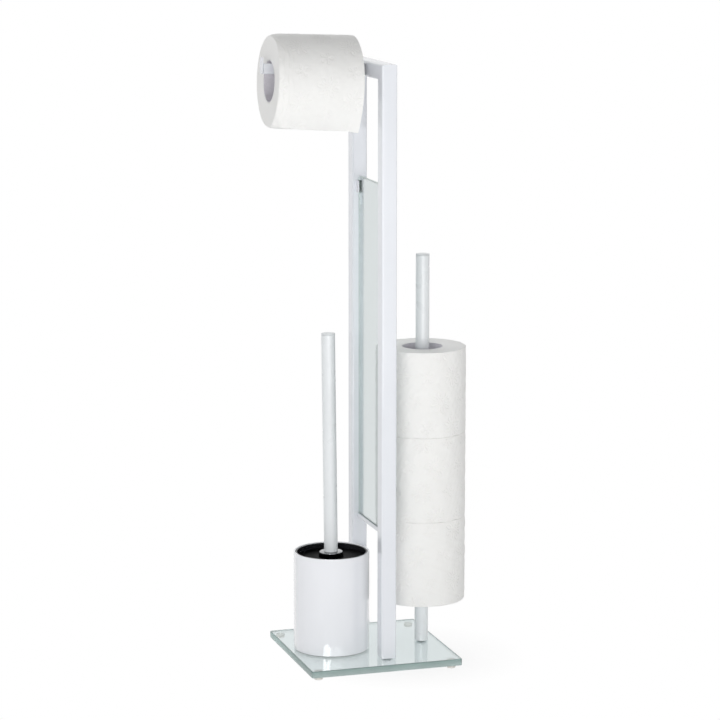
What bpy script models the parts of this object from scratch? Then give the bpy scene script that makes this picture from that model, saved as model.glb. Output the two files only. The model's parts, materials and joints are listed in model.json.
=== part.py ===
"""Toilet butler stand: a glass base, a white tube frame with a glass panel, an arm for the
paper roll in use, a rod of spare rolls and a brush in its holder.

Metres, +Z up. The origin lies on the floor under the middle of the base plate. +X runs along
the plate's front edge and +Y to its back edge.
"""

import math

import bmesh
import bpy
from mathutils import Matrix, Vector

# Clearances and overruns
SEAT_GAP = 0.0003  # between two pieces that touch
OVERRUN = 0.004  # how far a cut runs past its piece
GLASS_HOLE_PLAY = 0.0008  # round a screw in the glass plate
MERGE_DISTANCE = 0.000001

# Sides of a full turn, and steps of a rounded edge
ROLL_SIDES = 40
HOLDER_SIDES = 48
TUBE_SIDES = 24
SCREW_SIDES = 16
CORNER_STEPS = 4
EDGE_STEPS = 2
RIM_STEPS = 1  # of the thin black rims

# Base plate and its feet
PLATE_SIDE = 0.182
PLATE_THICKNESS = 0.008
PLATE_CORNER_RADIUS = 0.003
PLATE_ARRIS = 0.0007
FOOT_RADIUS = 0.005
FOOT_HEIGHT = 0.004
FOOT_ROUNDING = 0.001
FOOT_INSET = 0.0105  # from the plate's edges to a foot's middle

# Square tube of the frame
TUBE_SIDE = 0.018
TUBE_WALL = 0.0015
TUBE_EDGE_RADIUS = 0.002
TUBE_BORE_EDGE_RADIUS = 0.0006
FRAME_X = 0.0092  # the tubes' middle, right of the plate's middle
FRAME_INSET = 0.025  # from the plate's front and back edges to the uprights
FRAME_HEIGHT = 0.6887  # above the plate
KEY_LEG = 0.030  # corner key, from the mitre's middle
INSERT_LENGTH = 0.018

# Screws that hold the uprights and the rod from below, and their washers
SCREW_RADIUS = 0.0025
SCREW_GRIP = 0.012  # how far a screw reaches above the plate
SCREW_HEAD_RADIUS = 0.0045
SCREW_HEAD_HEIGHT = 0.0018
SCREW_HEAD_ROUNDING = 0.0005
WASHER_RADIUS = 0.006
WASHER_THICKNESS = 0.0008

# Roll arm, its seat on the top bar and its upturned end
ARM_DEPTH = 0.010
ARM_HEIGHT = 0.012
ARM_WALL = 0.0012
ARM_EDGE_RADIUS = 0.0015
ARM_BORE_EDGE_RADIUS = 0.0004
ARM_TILT = math.radians(1.6)
ARM_DROP = 0.0005  # the arm's middle below the bar's middle, at the bar
ARM_SEAT_THICKNESS = 0.0012
ARM_INSERT_LENGTH = 0.016
ARM_BOLT_GRIP = 0.011  # how far the bolt reaches into the arm
TAB_RISE = 0.007
TAB_THICKNESS = 0.0015
TAB_CORNER_RADIUS = 0.0015
ACCESS_HOLE_RADIUS = 0.0055

# Glass panel, the rail under it and the clips at its top corners
PANEL_THICKNESS = 0.005
PANEL_HEIGHT = 0.405
PANEL_ARRIS = 0.0004
PANEL_CORNER_RADIUS = 0.001
RAIL_UNDERSIDE = 0.1444  # above the plate
RAIL_HEIGHT = 0.0049
RAIL_WALL = 0.001
CLIP_HEIGHT = 0.014
CLIP_DEPTH = 0.009
CLIP_WALL = 0.001
CLIP_DROP = 0.0045  # below the panel's top edge
GASKET_THICKNESS = 0.0006
GASKET_SHOW = 0.0035  # how far the gasket stands out of its clip
CLIP_SCREW_RADIUS = 0.0015
CLIP_SCREW_SETBACK = 0.006
CLIP_SCREW_DROP = 0.0046
CLIP_SCREW_PROUD = 0.0002

# Rod for the spare rolls, its cap and the stop that carries them
ROD_RADIUS = 0.008
ROD_WALL = 0.0012
ROD_HEIGHT = 0.4636  # above the plate
CAP_THICKNESS = 0.0012
CAP_ROUNDING = 0.0004
CAP_PLUG_LENGTH = 0.008
STOP_TOP = 0.0534  # above the plate
STOP_RADIUS = 0.030
STOP_THICKNESS = 0.002
STOP_ROUNDING = 0.0005
STOP_HUB_RADIUS = 0.011
STOP_HUB_HEIGHT = 0.008

# Paper rolls
CORE_RADIUS = 0.0228
CORE_WALL = 0.0007
ROLL_ROUNDING = 0.0015
SPARE_ROLL_RADIUS = 0.0521
SPARE_ROLL_LENGTH = 0.1003
SPARE_ROLL_COUNT = 3
HUNG_ROLL_RADIUS = 0.0538
HUNG_ROLL_LENGTH = 0.0965
HUNG_ROLL_SETBACK = 0.0174  # from the bar's face to the roll's inner end
HUNG_ROLL_TAB_GAP = 0.0089  # from the roll's outer end to the tab's outer face
HUNG_ROLL_EXTRA_TILT = math.radians(0.8)

# Brush holder: a metal sleeve with a floor let into it, bolted through a gasket and the plate
HOLDER_ROLL_GAP = 0.0145  # from the spare rolls, through the frame
HOLDER_RADIUS = 0.0446
HOLDER_HEIGHT = 0.1175  # its rim above the plate
HOLDER_WALL = 0.0012
HOLDER_ROUNDING = 0.0009
RIM_WIDTH = 0.0025
RIM_DEPTH = 0.003
RIM_ROUNDING = 0.0008
HOLDER_GASKET_THICKNESS = 0.0008
HOLDER_GASKET_INSET = 0.0012
NUT_THICKNESS = 0.0020
NUT_RADIUS = 0.0046
NUT_SIDES = 6
BOLT_END = 0.0003  # the bolt's end below its nut

# Inner container, which lifts out of the sleeve
LINER_WALL = 0.0015
LINER_SINK = 0.0008  # its rim below the sleeve's rim
LINER_ROUNDING = 0.0005
LINER_BOTTOM_ROUNDING = 0.004
LINER_DRAFT = 0.0006
LINER_RECESS_RADIUS = 0.018
LINER_RECESS_PLAY = 0.0006  # over the bolt's head

# Brush: lid, flange, handle, stem and head. It leans a little to the left in its holder
BRUSH_LEAN = math.radians(0.67)
BRUSH_SHIFT = 0.0005  # the lid's middle left of the holder's axis
LID_PLAY = 0.0008  # between the lid and the container
LID_RECESS = 0.0069  # the lid's top below the sleeve's rim
LID_DEPTH = 0.0025
LID_SKIN = 0.0015
LID_ROUNDING = 0.0005
COLLAR_RADIUS = 0.0143
COLLAR_HEIGHT = 0.0047
COLLAR_ROUNDING = 0.0006
FLANGE_RADIUS = 0.0135
FLANGE_THICKNESS = 0.001
FLANGE_ROUNDING = 0.0003
HANDLE_RADIUS = 0.008
HANDLE_WALL = 0.001
HANDLE_LENGTH = 0.2589
HANDLE_INSERT_LENGTH = 0.020
STEM_RADIUS = 0.004
STEM_CHAMFER = 0.0005
STEM_GRIP = 0.014  # how far the stem reaches into the handle and into the head
HEAD_SIDE_CLEARANCE = 0.0072  # to the container's wall
HEAD_CLEARANCE = 0.0065  # over the container's floor
HEAD_DROP = 0.022  # its top below the lid's top
HEAD_NECK_RADIUS = 0.009  # also of the core that the bristles grow from
HEAD_NECK_LENGTH = 0.006
HEAD_DOME_DEPTH = 0.020
HEAD_SHOULDER_DEPTH = 0.010
SHOULDER_SHARE = 0.3  # of a bristle's reach, lost at the shoulder
BRISTLE_COLUMNS = 24
BRISTLE_ROWS = 22
BRISTLE_DOME_ROWS = 4
BRISTLE_DOME_ANGLE = math.radians(72)
BRISTLE_TIP_SHARE = 0.42

# Heights that follow from the sizes above
PLATE_BOTTOM = FOOT_HEIGHT + SEAT_GAP
PLATE_TOP = PLATE_BOTTOM + PLATE_THICKNESS
SEATED = PLATE_TOP + SEAT_GAP
FRAME_TOP = PLATE_TOP + FRAME_HEIGHT
FRAME_DEPTH = PLATE_SIDE - 2 * FRAME_INSET
UPRIGHT_Y = FRAME_DEPTH / 2 - TUBE_SIDE / 2
TUBE_BORE = TUBE_SIDE - 2 * TUBE_WALL
KEY_SIDE = TUBE_BORE - 2 * SEAT_GAP
WASHER_TOP = PLATE_BOTTOM - SEAT_GAP
HEAD_TOP = WASHER_TOP - WASHER_THICKNESS - SEAT_GAP
FRAME_LEFT_X = FRAME_X - TUBE_SIDE / 2
FRAME_RIGHT_X = FRAME_X + TUBE_SIDE / 2
ARM_Z = FRAME_TOP - TUBE_SIDE / 2 - ARM_DROP
ARM_REACH = HUNG_ROLL_SETBACK + HUNG_ROLL_LENGTH + HUNG_ROLL_TAB_GAP
RAIL_BOTTOM = PLATE_TOP + RAIL_UNDERSIDE
PANEL_BOTTOM = RAIL_BOTTOM + RAIL_WALL + SEAT_GAP
PANEL_TOP = PANEL_BOTTOM + PANEL_HEIGHT
CLIP_WEB_Y = FRAME_DEPTH / 2 - TUBE_SIDE - SEAT_GAP
ROD_X = FRAME_RIGHT_X + SEAT_GAP + SPARE_ROLL_RADIUS
ROD_TOP = PLATE_TOP + ROD_HEIGHT
STOP_Z = PLATE_TOP + STOP_TOP
PAPER_BORE_RADIUS = CORE_RADIUS + CORE_WALL + SEAT_GAP
HOLDER_X = FRAME_RIGHT_X + SEAT_GAP - HOLDER_ROLL_GAP - HOLDER_RADIUS
HOLDER_BASE = SEATED + HOLDER_GASKET_THICKNESS + SEAT_GAP
RIM_TOP = PLATE_TOP + HOLDER_HEIGHT
LINER_BASE = HOLDER_BASE + HOLDER_WALL + SEAT_GAP
LINER_RADIUS = HOLDER_RADIUS - RIM_WIDTH - SEAT_GAP
LID_RADIUS = LINER_RADIUS - LINER_WALL - LID_PLAY
LID_TOP = RIM_TOP - LID_RECESS
LEDGE_Z = LID_TOP - LID_DEPTH - SEAT_GAP - LID_RADIUS * math.sin(BRUSH_LEAN)
LINER_RECESS = SEAT_GAP + SCREW_HEAD_HEIGHT + LINER_RECESS_PLAY
HEAD_RADIUS = LINER_RADIUS - 2 * LINER_WALL - LINER_DRAFT - HEAD_SIDE_CLEARANCE

# Ways to turn an outline drawn in X and Y: its thickness then lies along Z, X or Y
ORIGIN = (0.0, 0.0, 0.0)
FLAT = (0.0, 0.0, 0.0)
ALONG_X = (math.pi / 2, 0.0, math.pi / 2)
ALONG_Y = (math.pi / 2, 0.0, 0.0)
# A turned piece that lies along +X
TURNED_X = (0.0, math.pi / 2, 0.0)


def clear_scene():
    for obj in list(bpy.data.objects):
        bpy.data.objects.remove(obj, do_unlink=True)


def new_collection(name):
    collection = bpy.data.collections.new(name)
    bpy.context.scene.collection.children.link(collection)
    return collection


def new_material(name, colour, roughness, metallic=0.0, alpha=1.0):
    material = bpy.data.materials.new(name)
    material.use_nodes = True
    shader = material.node_tree.nodes["Principled BSDF"]
    shader.inputs["Base Color"].default_value = (*colour, 1.0)
    shader.inputs["Roughness"].default_value = roughness
    shader.inputs["Metallic"].default_value = metallic
    shader.inputs["Alpha"].default_value = alpha
    return material


clear_scene()
PARTS = new_collection("toilet_butler_stand")
CUTTERS = new_collection("cutters")

WHITE_PAINT = new_material("white_paint", (0.83, 0.85, 0.88), 0.22)
SATIN_WHITE = new_material("satin_white_paint", (0.78, 0.80, 0.82), 0.30)
BASE_GLASS = new_material("base_glass", (0.66, 0.76, 0.72), 0.03, 0.0, 0.35)
PANEL_GLASS = new_material("panel_glass", (0.70, 0.78, 0.77), 0.05, 0.0, 0.35)
CLEAR_RUBBER = new_material("clear_rubber", (0.80, 0.80, 0.76), 0.35, 0.0, 0.8)
DARK_RUBBER = new_material("dark_rubber", (0.03, 0.05, 0.045), 0.6)
BLACK_PLASTIC = new_material("black_plastic", (0.01, 0.01, 0.012), 0.25)
WHITE_PLASTIC = new_material("white_plastic", (0.80, 0.80, 0.80), 0.4)
GREY_PLASTIC = new_material("grey_plastic", (0.45, 0.46, 0.48), 0.5)
POLISHED_STEEL = new_material("polished_steel", (0.75, 0.75, 0.77), 0.12, 1.0)
ZINC_STEEL = new_material("zinc_steel", (0.62, 0.63, 0.65), 0.35, 1.0)
BRISTLE = new_material("bristle", (0.85, 0.86, 0.88), 0.55)
PAPER = new_material("paper", (0.87, 0.87, 0.86), 0.9)
CARDBOARD = new_material("cardboard", (0.52, 0.50, 0.50), 0.85)


def place(obj, material, location=ORIGIN, rotation=FLAT, parent=None):
    obj.location = location
    obj.rotation_euler = rotation
    obj.parent = parent
    if material:
        obj.data.materials.clear()
        obj.data.materials.append(material)
        PARTS.objects.link(obj)
    else:
        obj.hide_render = True
        obj.display_type = "WIRE"
        CUTTERS.objects.link(obj)
    return obj


def empty_at(name, location, rotation=FLAT, parent=None):
    """An axis that the pieces on it are parented to."""
    empty = bpy.data.objects.new(name, None)
    empty.empty_display_size = TUBE_SIDE
    empty.location = location
    empty.rotation_euler = rotation
    empty.parent = parent
    PARTS.objects.link(empty)
    return empty


def shade_round(mesh):
    mesh.shade_smooth()
    mesh.set_sharp_from_angle(angle=math.radians(35))


def evaluated_mesh(obj):
    bpy.context.view_layer.update()
    graph = bpy.context.evaluated_depsgraph_get()
    return bpy.data.meshes.new_from_object(obj.evaluated_get(graph))


def arc(centre, radius, start, end, steps=EDGE_STEPS):
    """Points on an arc from start to end, in degrees."""
    points = []
    for step in range(steps + 1):
        angle = math.radians(start + (end - start) * step / steps)
        points.append((centre[0] + radius * math.cos(angle), centre[1] + radius * math.sin(angle)))
    return points


def rectangle(width, height, radius=0.0, centre=(0.0, 0.0)):
    """Outline of a rectangle, with round corners where a radius is given."""
    x, y = centre
    right = width / 2 - radius
    top = height / 2 - radius
    corners = [(right, top, 0), (-right, top, 90), (-right, -top, 180), (right, -top, 270)]
    if not radius:
        return [(x + dx, y + dy) for dx, dy, _ in corners]
    points = []
    for dx, dy, turn in corners:
        points += arc((x + dx, y + dy), radius, turn, turn + 90, CORNER_STEPS)
    return points


def circle(radius, sides, centre=(0.0, 0.0)):
    return arc(centre, radius, 0, 360, sides)[:-1]


def extruded(name, outlines, thickness, material, location=ORIGIN, rotation=FLAT, parent=None):
    """A flat outline, with any holes as further outlines, of the thickness given."""
    curve = bpy.data.curves.new(name, "CURVE")
    curve.dimensions = "2D"
    curve.fill_mode = "BOTH"
    curve.extrude = thickness / 2
    for outline in outlines:
        spline = curve.splines.new("POLY")
        spline.points.add(len(outline) - 1)
        for point, (x, y) in zip(spline.points, outline):
            point.co = (x, y, 0.0, 1.0)
        spline.use_cyclic_u = True
    guide = bpy.data.objects.new(name, curve)
    bpy.context.scene.collection.objects.link(guide)
    mesh = evaluated_mesh(guide)
    bpy.data.objects.remove(guide, do_unlink=True)
    form = bmesh.new()
    form.from_mesh(mesh)
    bmesh.ops.remove_doubles(form, verts=form.verts, dist=MERGE_DISTANCE)
    bmesh.ops.recalc_face_normals(form, faces=form.faces)
    form.to_mesh(mesh)
    form.free()
    shade_round(mesh)
    return place(bpy.data.objects.new(name, mesh), material, location, rotation, parent)


def turned(name, profile, sides, material, location=ORIGIN, rotation=FLAT, parent=None, ring=False):
    """A profile of (radius, height) turned about Z. It runs down its outer side."""
    mesh = bpy.data.meshes.new(name)
    edges = [(i, i + 1) for i in range(len(profile) - 1)]
    if ring:
        edges.append((len(profile) - 1, 0))
    mesh.from_pydata([(r, 0.0, z) for r, z in profile], edges, [])
    obj = place(bpy.data.objects.new(name, mesh), material, location, rotation, parent)
    screw = obj.modifiers.new("Turn", "SCREW")
    screw.axis = "Z"
    screw.angle = 2 * math.pi
    screw.steps = sides
    screw.render_steps = sides
    screw.use_merge_vertices = True
    screw.merge_threshold = MERGE_DISTANCE
    screw.use_smooth_shade = True
    return obj


def bevelled(obj, width):
    bevel = obj.modifiers.new("Arris", "BEVEL")
    bevel.width = width
    bevel.segments = 1
    bevel.limit_method = "ANGLE"
    bevel.angle_limit = math.radians(50)
    return obj


def cut(obj, cutter):
    boolean = obj.modifiers.new("Cut " + cutter.name, "BOOLEAN")
    boolean.operation = "DIFFERENCE"
    boolean.solver = "EXACT"
    boolean.object = cutter
    return obj


def ring_profile(inner, outer, bottom, top, rounding=0.0):
    """Cross-section of a ring, with its outer edges rounded."""
    if not rounding:
        return [(inner, top), (outer, top), (outer, bottom), (inner, bottom)]
    upper = arc((outer - rounding, top - rounding), rounding, 90, 0)
    lower = arc((outer - rounding, bottom + rounding), rounding, 0, -90)
    return [(inner, top), *upper, *lower, (inner, bottom)]


def pin_profile(radius, bottom, top, rounding=0.0):
    """Cross-section of a solid pin, with both ends' edges rounded."""
    if not rounding:
        return [(0.0, top), (radius, top), (radius, bottom), (0.0, bottom)]
    upper = arc((radius - rounding, top - rounding), rounding, 90, 0)
    lower = arc((radius - rounding, bottom + rounding), rounding, 0, -90)
    return [(0.0, top), *upper, *lower, (0.0, bottom)]


def build_base():
    """The glass plate, drilled for its screws, and the four feet under it."""
    hole_radius = SCREW_RADIUS + GLASS_HOLE_PLAY
    outlines = [rectangle(PLATE_SIDE, PLATE_SIDE, PLATE_CORNER_RADIUS)]
    for x, y in screw_places() + [(HOLDER_X, 0.0)]:
        outlines.append(circle(hole_radius, SCREW_SIDES, (x, y)))
    middle = PLATE_BOTTOM + PLATE_THICKNESS / 2
    plate = extruded("base_plate", outlines, PLATE_THICKNESS, BASE_GLASS, (0.0, 0.0, middle))
    bevelled(plate, PLATE_ARRIS)
    reach = PLATE_SIDE / 2 - FOOT_INSET
    profile = [(0.0, FOOT_HEIGHT), (FOOT_RADIUS, FOOT_HEIGHT)]
    profile += arc((FOOT_RADIUS - FOOT_ROUNDING, FOOT_ROUNDING), FOOT_ROUNDING, 0, -90)
    profile.append((0.0, 0.0))
    for depth, y in (("front", -reach), ("rear", reach)):
        for side, x in (("left", -reach), ("right", reach)):
            turned(f"foot_{depth}_{side}", profile, SCREW_SIDES, CLEAR_RUBBER, (x, y, 0.0))


def screw_places():
    """Where a screw comes up through the plate: front upright, rear upright and rod."""
    return [(FRAME_X, -UPRIGHT_Y), (FRAME_X, UPRIGHT_Y), (ROD_X, 0.0)]


def square_tube(name, length, location, rotation=FLAT):
    outlines = [
        rectangle(TUBE_SIDE, TUBE_SIDE, TUBE_EDGE_RADIUS),
        rectangle(TUBE_BORE, TUBE_BORE, TUBE_BORE_EDGE_RADIUS),
    ]
    return extruded(name, outlines, length, WHITE_PAINT, location, rotation)


def mitre_cutter(name, side, away):
    """A block along the mitre between an upright and the top bar. side is -1 at the front
    and 1 at the rear; away is 1 for the block on the bar's side of the joint and -1 for the
    one on the upright's side."""
    middle = Vector((side * UPRIGHT_Y, FRAME_TOP - TUBE_SIDE / 2))
    along = Vector((-side, -1.0)).normalized() * (TUBE_SIDE + OVERRUN)
    across = Vector((-side, 1.0)).normalized() * away
    near = middle - across * SEAT_GAP / 2
    far = middle + across * 2 * TUBE_SIDE
    outline = [near - along, near + along, far + along, far - along]
    return extruded(name, [outline], TUBE_SIDE + OVERRUN, None, (FRAME_X, 0.0, 0.0), ALONG_X)


def build_frame():
    """Two uprights and a top bar of square tube, mitred and keyed at the corners."""
    length = FRAME_TOP - SEATED
    bar = square_tube("top_bar", FRAME_DEPTH, (FRAME_X, 0.0, FRAME_TOP - TUBE_SIDE / 2), ALONG_Y)
    for name, side in (("front", -1), ("rear", 1)):
        location = (FRAME_X, side * UPRIGHT_Y, SEATED + length / 2)
        upright = square_tube(f"{name}_upright", length, location)
        cut(upright, mitre_cutter(f"{name}_upright_mitre", side, 1))
        cut(bar, mitre_cutter(f"{name}_bar_mitre", side, -1))
        corner_key(name, side)
        threaded_insert(f"{name}_upright_insert", (FRAME_X, side * UPRIGHT_Y), True)
    return bar


def corner_key(name, side):
    """The angle piece inside a mitred corner."""
    y = side * UPRIGHT_Y
    z = FRAME_TOP - TUBE_SIDE / 2
    half = KEY_SIDE / 2
    outline = [
        (y + side * half, z + half),
        (y - side * KEY_LEG, z + half),
        (y - side * KEY_LEG, z - half),
        (y - side * half, z - half),
        (y - side * half, z - KEY_LEG),
        (y + side * half, z - KEY_LEG),
    ]
    extruded(f"corner_key_{name}", [outline], KEY_SIDE, GREY_PLASTIC, (FRAME_X, 0.0, 0.0), ALONG_X)


def threaded_insert(name, place_xy, square):
    """The block in a tube's lower end that takes the screw."""
    bore = circle(SCREW_RADIUS + SEAT_GAP, SCREW_SIDES)
    if square:
        outer = rectangle(KEY_SIDE, KEY_SIDE)
    else:
        outer = circle(ROD_RADIUS - ROD_WALL - SEAT_GAP, TUBE_SIDES)
    location = (*place_xy, SEATED + INSERT_LENGTH / 2)
    extruded(name, [outer, bore], INSERT_LENGTH, GREY_PLASTIC, location)


def screw_head_profile(top):
    """Outer side of a low screw head below the height given, down to the axis."""
    bottom = top - SCREW_HEAD_HEIGHT
    centre = (SCREW_HEAD_RADIUS - SCREW_HEAD_ROUNDING, bottom + SCREW_HEAD_ROUNDING)
    return [(SCREW_HEAD_RADIUS, top), *arc(centre, SCREW_HEAD_ROUNDING, 0, -90), (0.0, bottom)]


def build_plate_screws():
    """A screw and a washer under the plate for each upright and for the rod."""
    ring = ring_profile(SCREW_RADIUS + SEAT_GAP, WASHER_RADIUS, WASHER_TOP - WASHER_THICKNESS, WASHER_TOP)
    tip = PLATE_TOP + SCREW_GRIP
    screw = [(0.0, tip), (SCREW_RADIUS, tip), (SCREW_RADIUS, HEAD_TOP), *screw_head_profile(HEAD_TOP)]
    for name, (x, y) in zip(("front_upright", "rear_upright", "rod"), screw_places()):
        turned(f"{name}_washer", ring, SCREW_SIDES, WHITE_PLASTIC, (x, y, 0.0), ring=True)
        turned(f"{name}_screw", screw, SCREW_SIDES, ZINC_STEEL, (x, y, 0.0))


def build_arm(bar):
    """The roll arm. Its axis starts on the bar's left face and rises a little outwards."""
    axis = empty_at("arm_axis", (FRAME_LEFT_X, 0.0, ARM_Z), (0.0, -ARM_TILT, math.pi))
    clearance = SCREW_RADIUS + SEAT_GAP
    seat_out = SEAT_GAP + ARM_SEAT_THICKNESS
    seat_middle = (FRAME_LEFT_X - SEAT_GAP - ARM_SEAT_THICKNESS / 2, 0.0, ARM_Z)
    seat = extruded(
        "arm_seat",
        [rectangle(ARM_DEPTH, ARM_HEIGHT), circle(clearance + SEAT_GAP, SCREW_SIDES)],
        ARM_SEAT_THICKNESS,
        GREY_PLASTIC,
        seat_middle,
        ALONG_X,
    )
    outlines = [
        rectangle(ARM_DEPTH, ARM_HEIGHT, ARM_EDGE_RADIUS),
        rectangle(ARM_DEPTH - 2 * ARM_WALL, ARM_HEIGHT - 2 * ARM_WALL, ARM_BORE_EDGE_RADIUS),
    ]
    end = ARM_REACH - TAB_THICKNESS - SEAT_GAP
    arm = extruded("roll_arm", outlines, end, WHITE_PAINT, (end / 2, 0.0, 0.0), ALONG_X, axis)
    block = rectangle(seat_out + SEAT_GAP + OVERRUN, ARM_HEIGHT + OVERRUN)
    block_x = FRAME_LEFT_X - seat_out - SEAT_GAP + (seat_out + SEAT_GAP + OVERRUN) / 2
    cut(arm, extruded("arm_root_cut", [block], ARM_DEPTH + OVERRUN, None, (block_x, 0.0, ARM_Z), ALONG_Y))
    tab_height = ARM_HEIGHT + TAB_RISE
    tab = [rectangle(ARM_DEPTH, tab_height, TAB_CORNER_RADIUS, (0.0, TAB_RISE / 2))]
    tab_x = ARM_REACH - TAB_THICKNESS / 2
    extruded("arm_end_tab", tab, TAB_THICKNESS, WHITE_PAINT, (tab_x, 0.0, 0.0), ALONG_X, axis)
    build_arm_bolt(bar, seat, axis, seat_out)


def build_arm_bolt(bar, seat, axis, seat_out):
    """The bolt that pulls the arm to the bar, the block it screws into, and its access hole."""
    clearance = SCREW_RADIUS + SEAT_GAP
    insert = [
        rectangle(ARM_DEPTH - 2 * (ARM_WALL + SEAT_GAP), ARM_HEIGHT - 2 * (ARM_WALL + SEAT_GAP)),
        circle(clearance, SCREW_SIDES),
    ]
    slant = ARM_HEIGHT / 2 * math.sin(ARM_TILT)
    insert_x = seat_out + SEAT_GAP + slant + ARM_INSERT_LENGTH / 2
    extruded("arm_insert", insert, ARM_INSERT_LENGTH, GREY_PLASTIC, (insert_x, 0.0, 0.0), ALONG_X, axis)
    under_head = -(TUBE_WALL + SEAT_GAP + SCREW_HEAD_RADIUS * math.sin(ARM_TILT))
    tip = seat_out + ARM_BOLT_GRIP
    bolt = [(0.0, tip), (SCREW_RADIUS, tip), (SCREW_RADIUS, under_head), *screw_head_profile(under_head)]
    turned("arm_bolt", bolt, SCREW_SIDES, ZINC_STEEL, ORIGIN, TURNED_X, axis)
    hole = pin_profile(clearance, -TUBE_WALL - OVERRUN / 2, OVERRUN / 2)
    cut(bar, turned("arm_bolt_hole", hole, SCREW_SIDES, None, ORIGIN, TURNED_X, axis))
    access = pin_profile(ACCESS_HOLE_RADIUS, -TUBE_WALL - OVERRUN / 2, OVERRUN / 2)
    right_face = (FRAME_RIGHT_X, 0.0, ARM_Z)
    cut(bar, turned("access_hole", access, SCREW_SIDES, None, right_face, TURNED_X))
    plug = pin_profile(ACCESS_HOLE_RADIUS - SEAT_GAP, -TUBE_WALL, 0.0)
    turned("arm_access_plug", plug, SCREW_SIDES, WHITE_PLASTIC, right_face, TURNED_X)


def channel(inner, wall, depth):
    """Outline of a U with its web along Y = 0 and its mouth towards -Y."""
    outer = inner + 2 * wall
    return [
        (-outer / 2, 0.0),
        (-outer / 2, -depth),
        (-inner / 2, -depth),
        (-inner / 2, -wall),
        (inner / 2, -wall),
        (inner / 2, -depth),
        (outer / 2, -depth),
        (outer / 2, 0.0),
    ]


def build_panel():
    """The glass panel, standing in a rail and held by a lined clip at each top corner."""
    gasket_inner = PANEL_THICKNESS + 2 * SEAT_GAP
    gasket_outer = gasket_inner + 2 * GASKET_THICKNESS
    clip_inner = gasket_outer + 2 * SEAT_GAP
    gasket_web_y = CLIP_WEB_Y - CLIP_WALL - SEAT_GAP
    panel_edge_y = gasket_web_y - GASKET_THICKNESS - SEAT_GAP
    pane = [rectangle(2 * panel_edge_y, PANEL_HEIGHT, PANEL_CORNER_RADIUS)]
    middle = (FRAME_X, 0.0, PANEL_BOTTOM + PANEL_HEIGHT / 2)
    panel = extruded("glass_panel", pane, PANEL_THICKNESS, PANEL_GLASS, middle, ALONG_X)
    bevelled(panel, PANEL_ARRIS)
    rail = [(x, -y) for x, y in channel(gasket_inner, RAIL_WALL, RAIL_HEIGHT)]
    extruded("panel_rail", [rail], 2 * CLIP_WEB_Y, WHITE_PAINT, (FRAME_X, 0.0, RAIL_BOTTOM), ALONG_Y)
    middle_z = PANEL_TOP - CLIP_DROP - CLIP_HEIGHT / 2
    gasket_depth = CLIP_DEPTH - CLIP_WALL - SEAT_GAP + GASKET_SHOW
    for name, turn in (("front", math.pi), ("rear", 0.0)):
        corner = empty_at(f"clip_axis_{name}", (FRAME_X, 0.0, middle_z), (0.0, 0.0, turn))
        clip = extruded(
            f"panel_clip_{name}",
            [channel(clip_inner, CLIP_WALL, CLIP_DEPTH)],
            CLIP_HEIGHT,
            WHITE_PAINT,
            (0.0, CLIP_WEB_Y, 0.0),
            parent=corner,
        )
        extruded(
            f"panel_gasket_{name}",
            [channel(gasket_inner, GASKET_THICKNESS, gasket_depth)],
            CLIP_HEIGHT,
            DARK_RUBBER,
            (0.0, gasket_web_y, 0.0),
            parent=corner,
        )
        clip_screw(name, clip, corner, clip_inner, turn)


def clip_screw(name, clip, corner, clip_inner, turn):
    """The small screw in the clip's left wall that presses on the gasket."""
    left = 1.0 if turn else -1.0
    wall_x = left * (clip_inner / 2 + CLIP_WALL)
    location = (wall_x, CLIP_WEB_Y - CLIP_SCREW_SETBACK, CLIP_HEIGHT / 2 - CLIP_SCREW_DROP)
    rotation = (0.0, left * math.pi / 2, 0.0)
    hole = pin_profile(CLIP_SCREW_RADIUS + SEAT_GAP, -CLIP_WALL - SEAT_GAP, OVERRUN)
    cut(clip, turned(f"clip_hole_{name}", hole, SCREW_SIDES, None, location, rotation, corner))
    screw = pin_profile(CLIP_SCREW_RADIUS, -CLIP_WALL, CLIP_SCREW_PROUD)
    turned(f"clip_screw_{name}", screw, SCREW_SIDES, ZINC_STEEL, location, rotation, corner)


def cap_profile(radius, bore, top):
    """A flat cap on a tube's end, with a plug inside the tube."""
    plug = bore - SEAT_GAP
    edge = arc((radius - CAP_ROUNDING, top - CAP_ROUNDING), CAP_ROUNDING, 90, 0)
    under = top - CAP_THICKNESS
    end = under - CAP_PLUG_LENGTH
    return [(0.0, top), *edge, (radius, under), (plug, under), (plug, end), (0.0, end)]


def build_spare_rod():
    """The rod, its cap and the stop disc that keeps the rolls off the plate."""
    bore = ROD_RADIUS - ROD_WALL
    tube = ring_profile(bore, ROD_RADIUS, SEATED, ROD_TOP - CAP_THICKNESS - SEAT_GAP)
    turned("spare_rod", tube, TUBE_SIDES, SATIN_WHITE, (ROD_X, 0.0, 0.0), ring=True)
    turned("rod_cap", cap_profile(ROD_RADIUS, bore, ROD_TOP), TUBE_SIDES, SATIN_WHITE, (ROD_X, 0.0, 0.0))
    threaded_insert("rod_insert", (ROD_X, 0.0), False)
    disc_bottom = STOP_Z - STOP_THICKNESS
    hub_bottom = disc_bottom - STOP_HUB_HEIGHT
    disc_bore = ROD_RADIUS + SEAT_GAP
    stop = ring_profile(disc_bore, STOP_RADIUS, disc_bottom, STOP_Z, STOP_ROUNDING)[:-1]
    stop += [(STOP_HUB_RADIUS, disc_bottom), (STOP_HUB_RADIUS, hub_bottom), (disc_bore, hub_bottom)]
    turned("stop_disc", stop, TUBE_SIDES, SATIN_WHITE, (ROD_X, 0.0, 0.0), ring=True)


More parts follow.
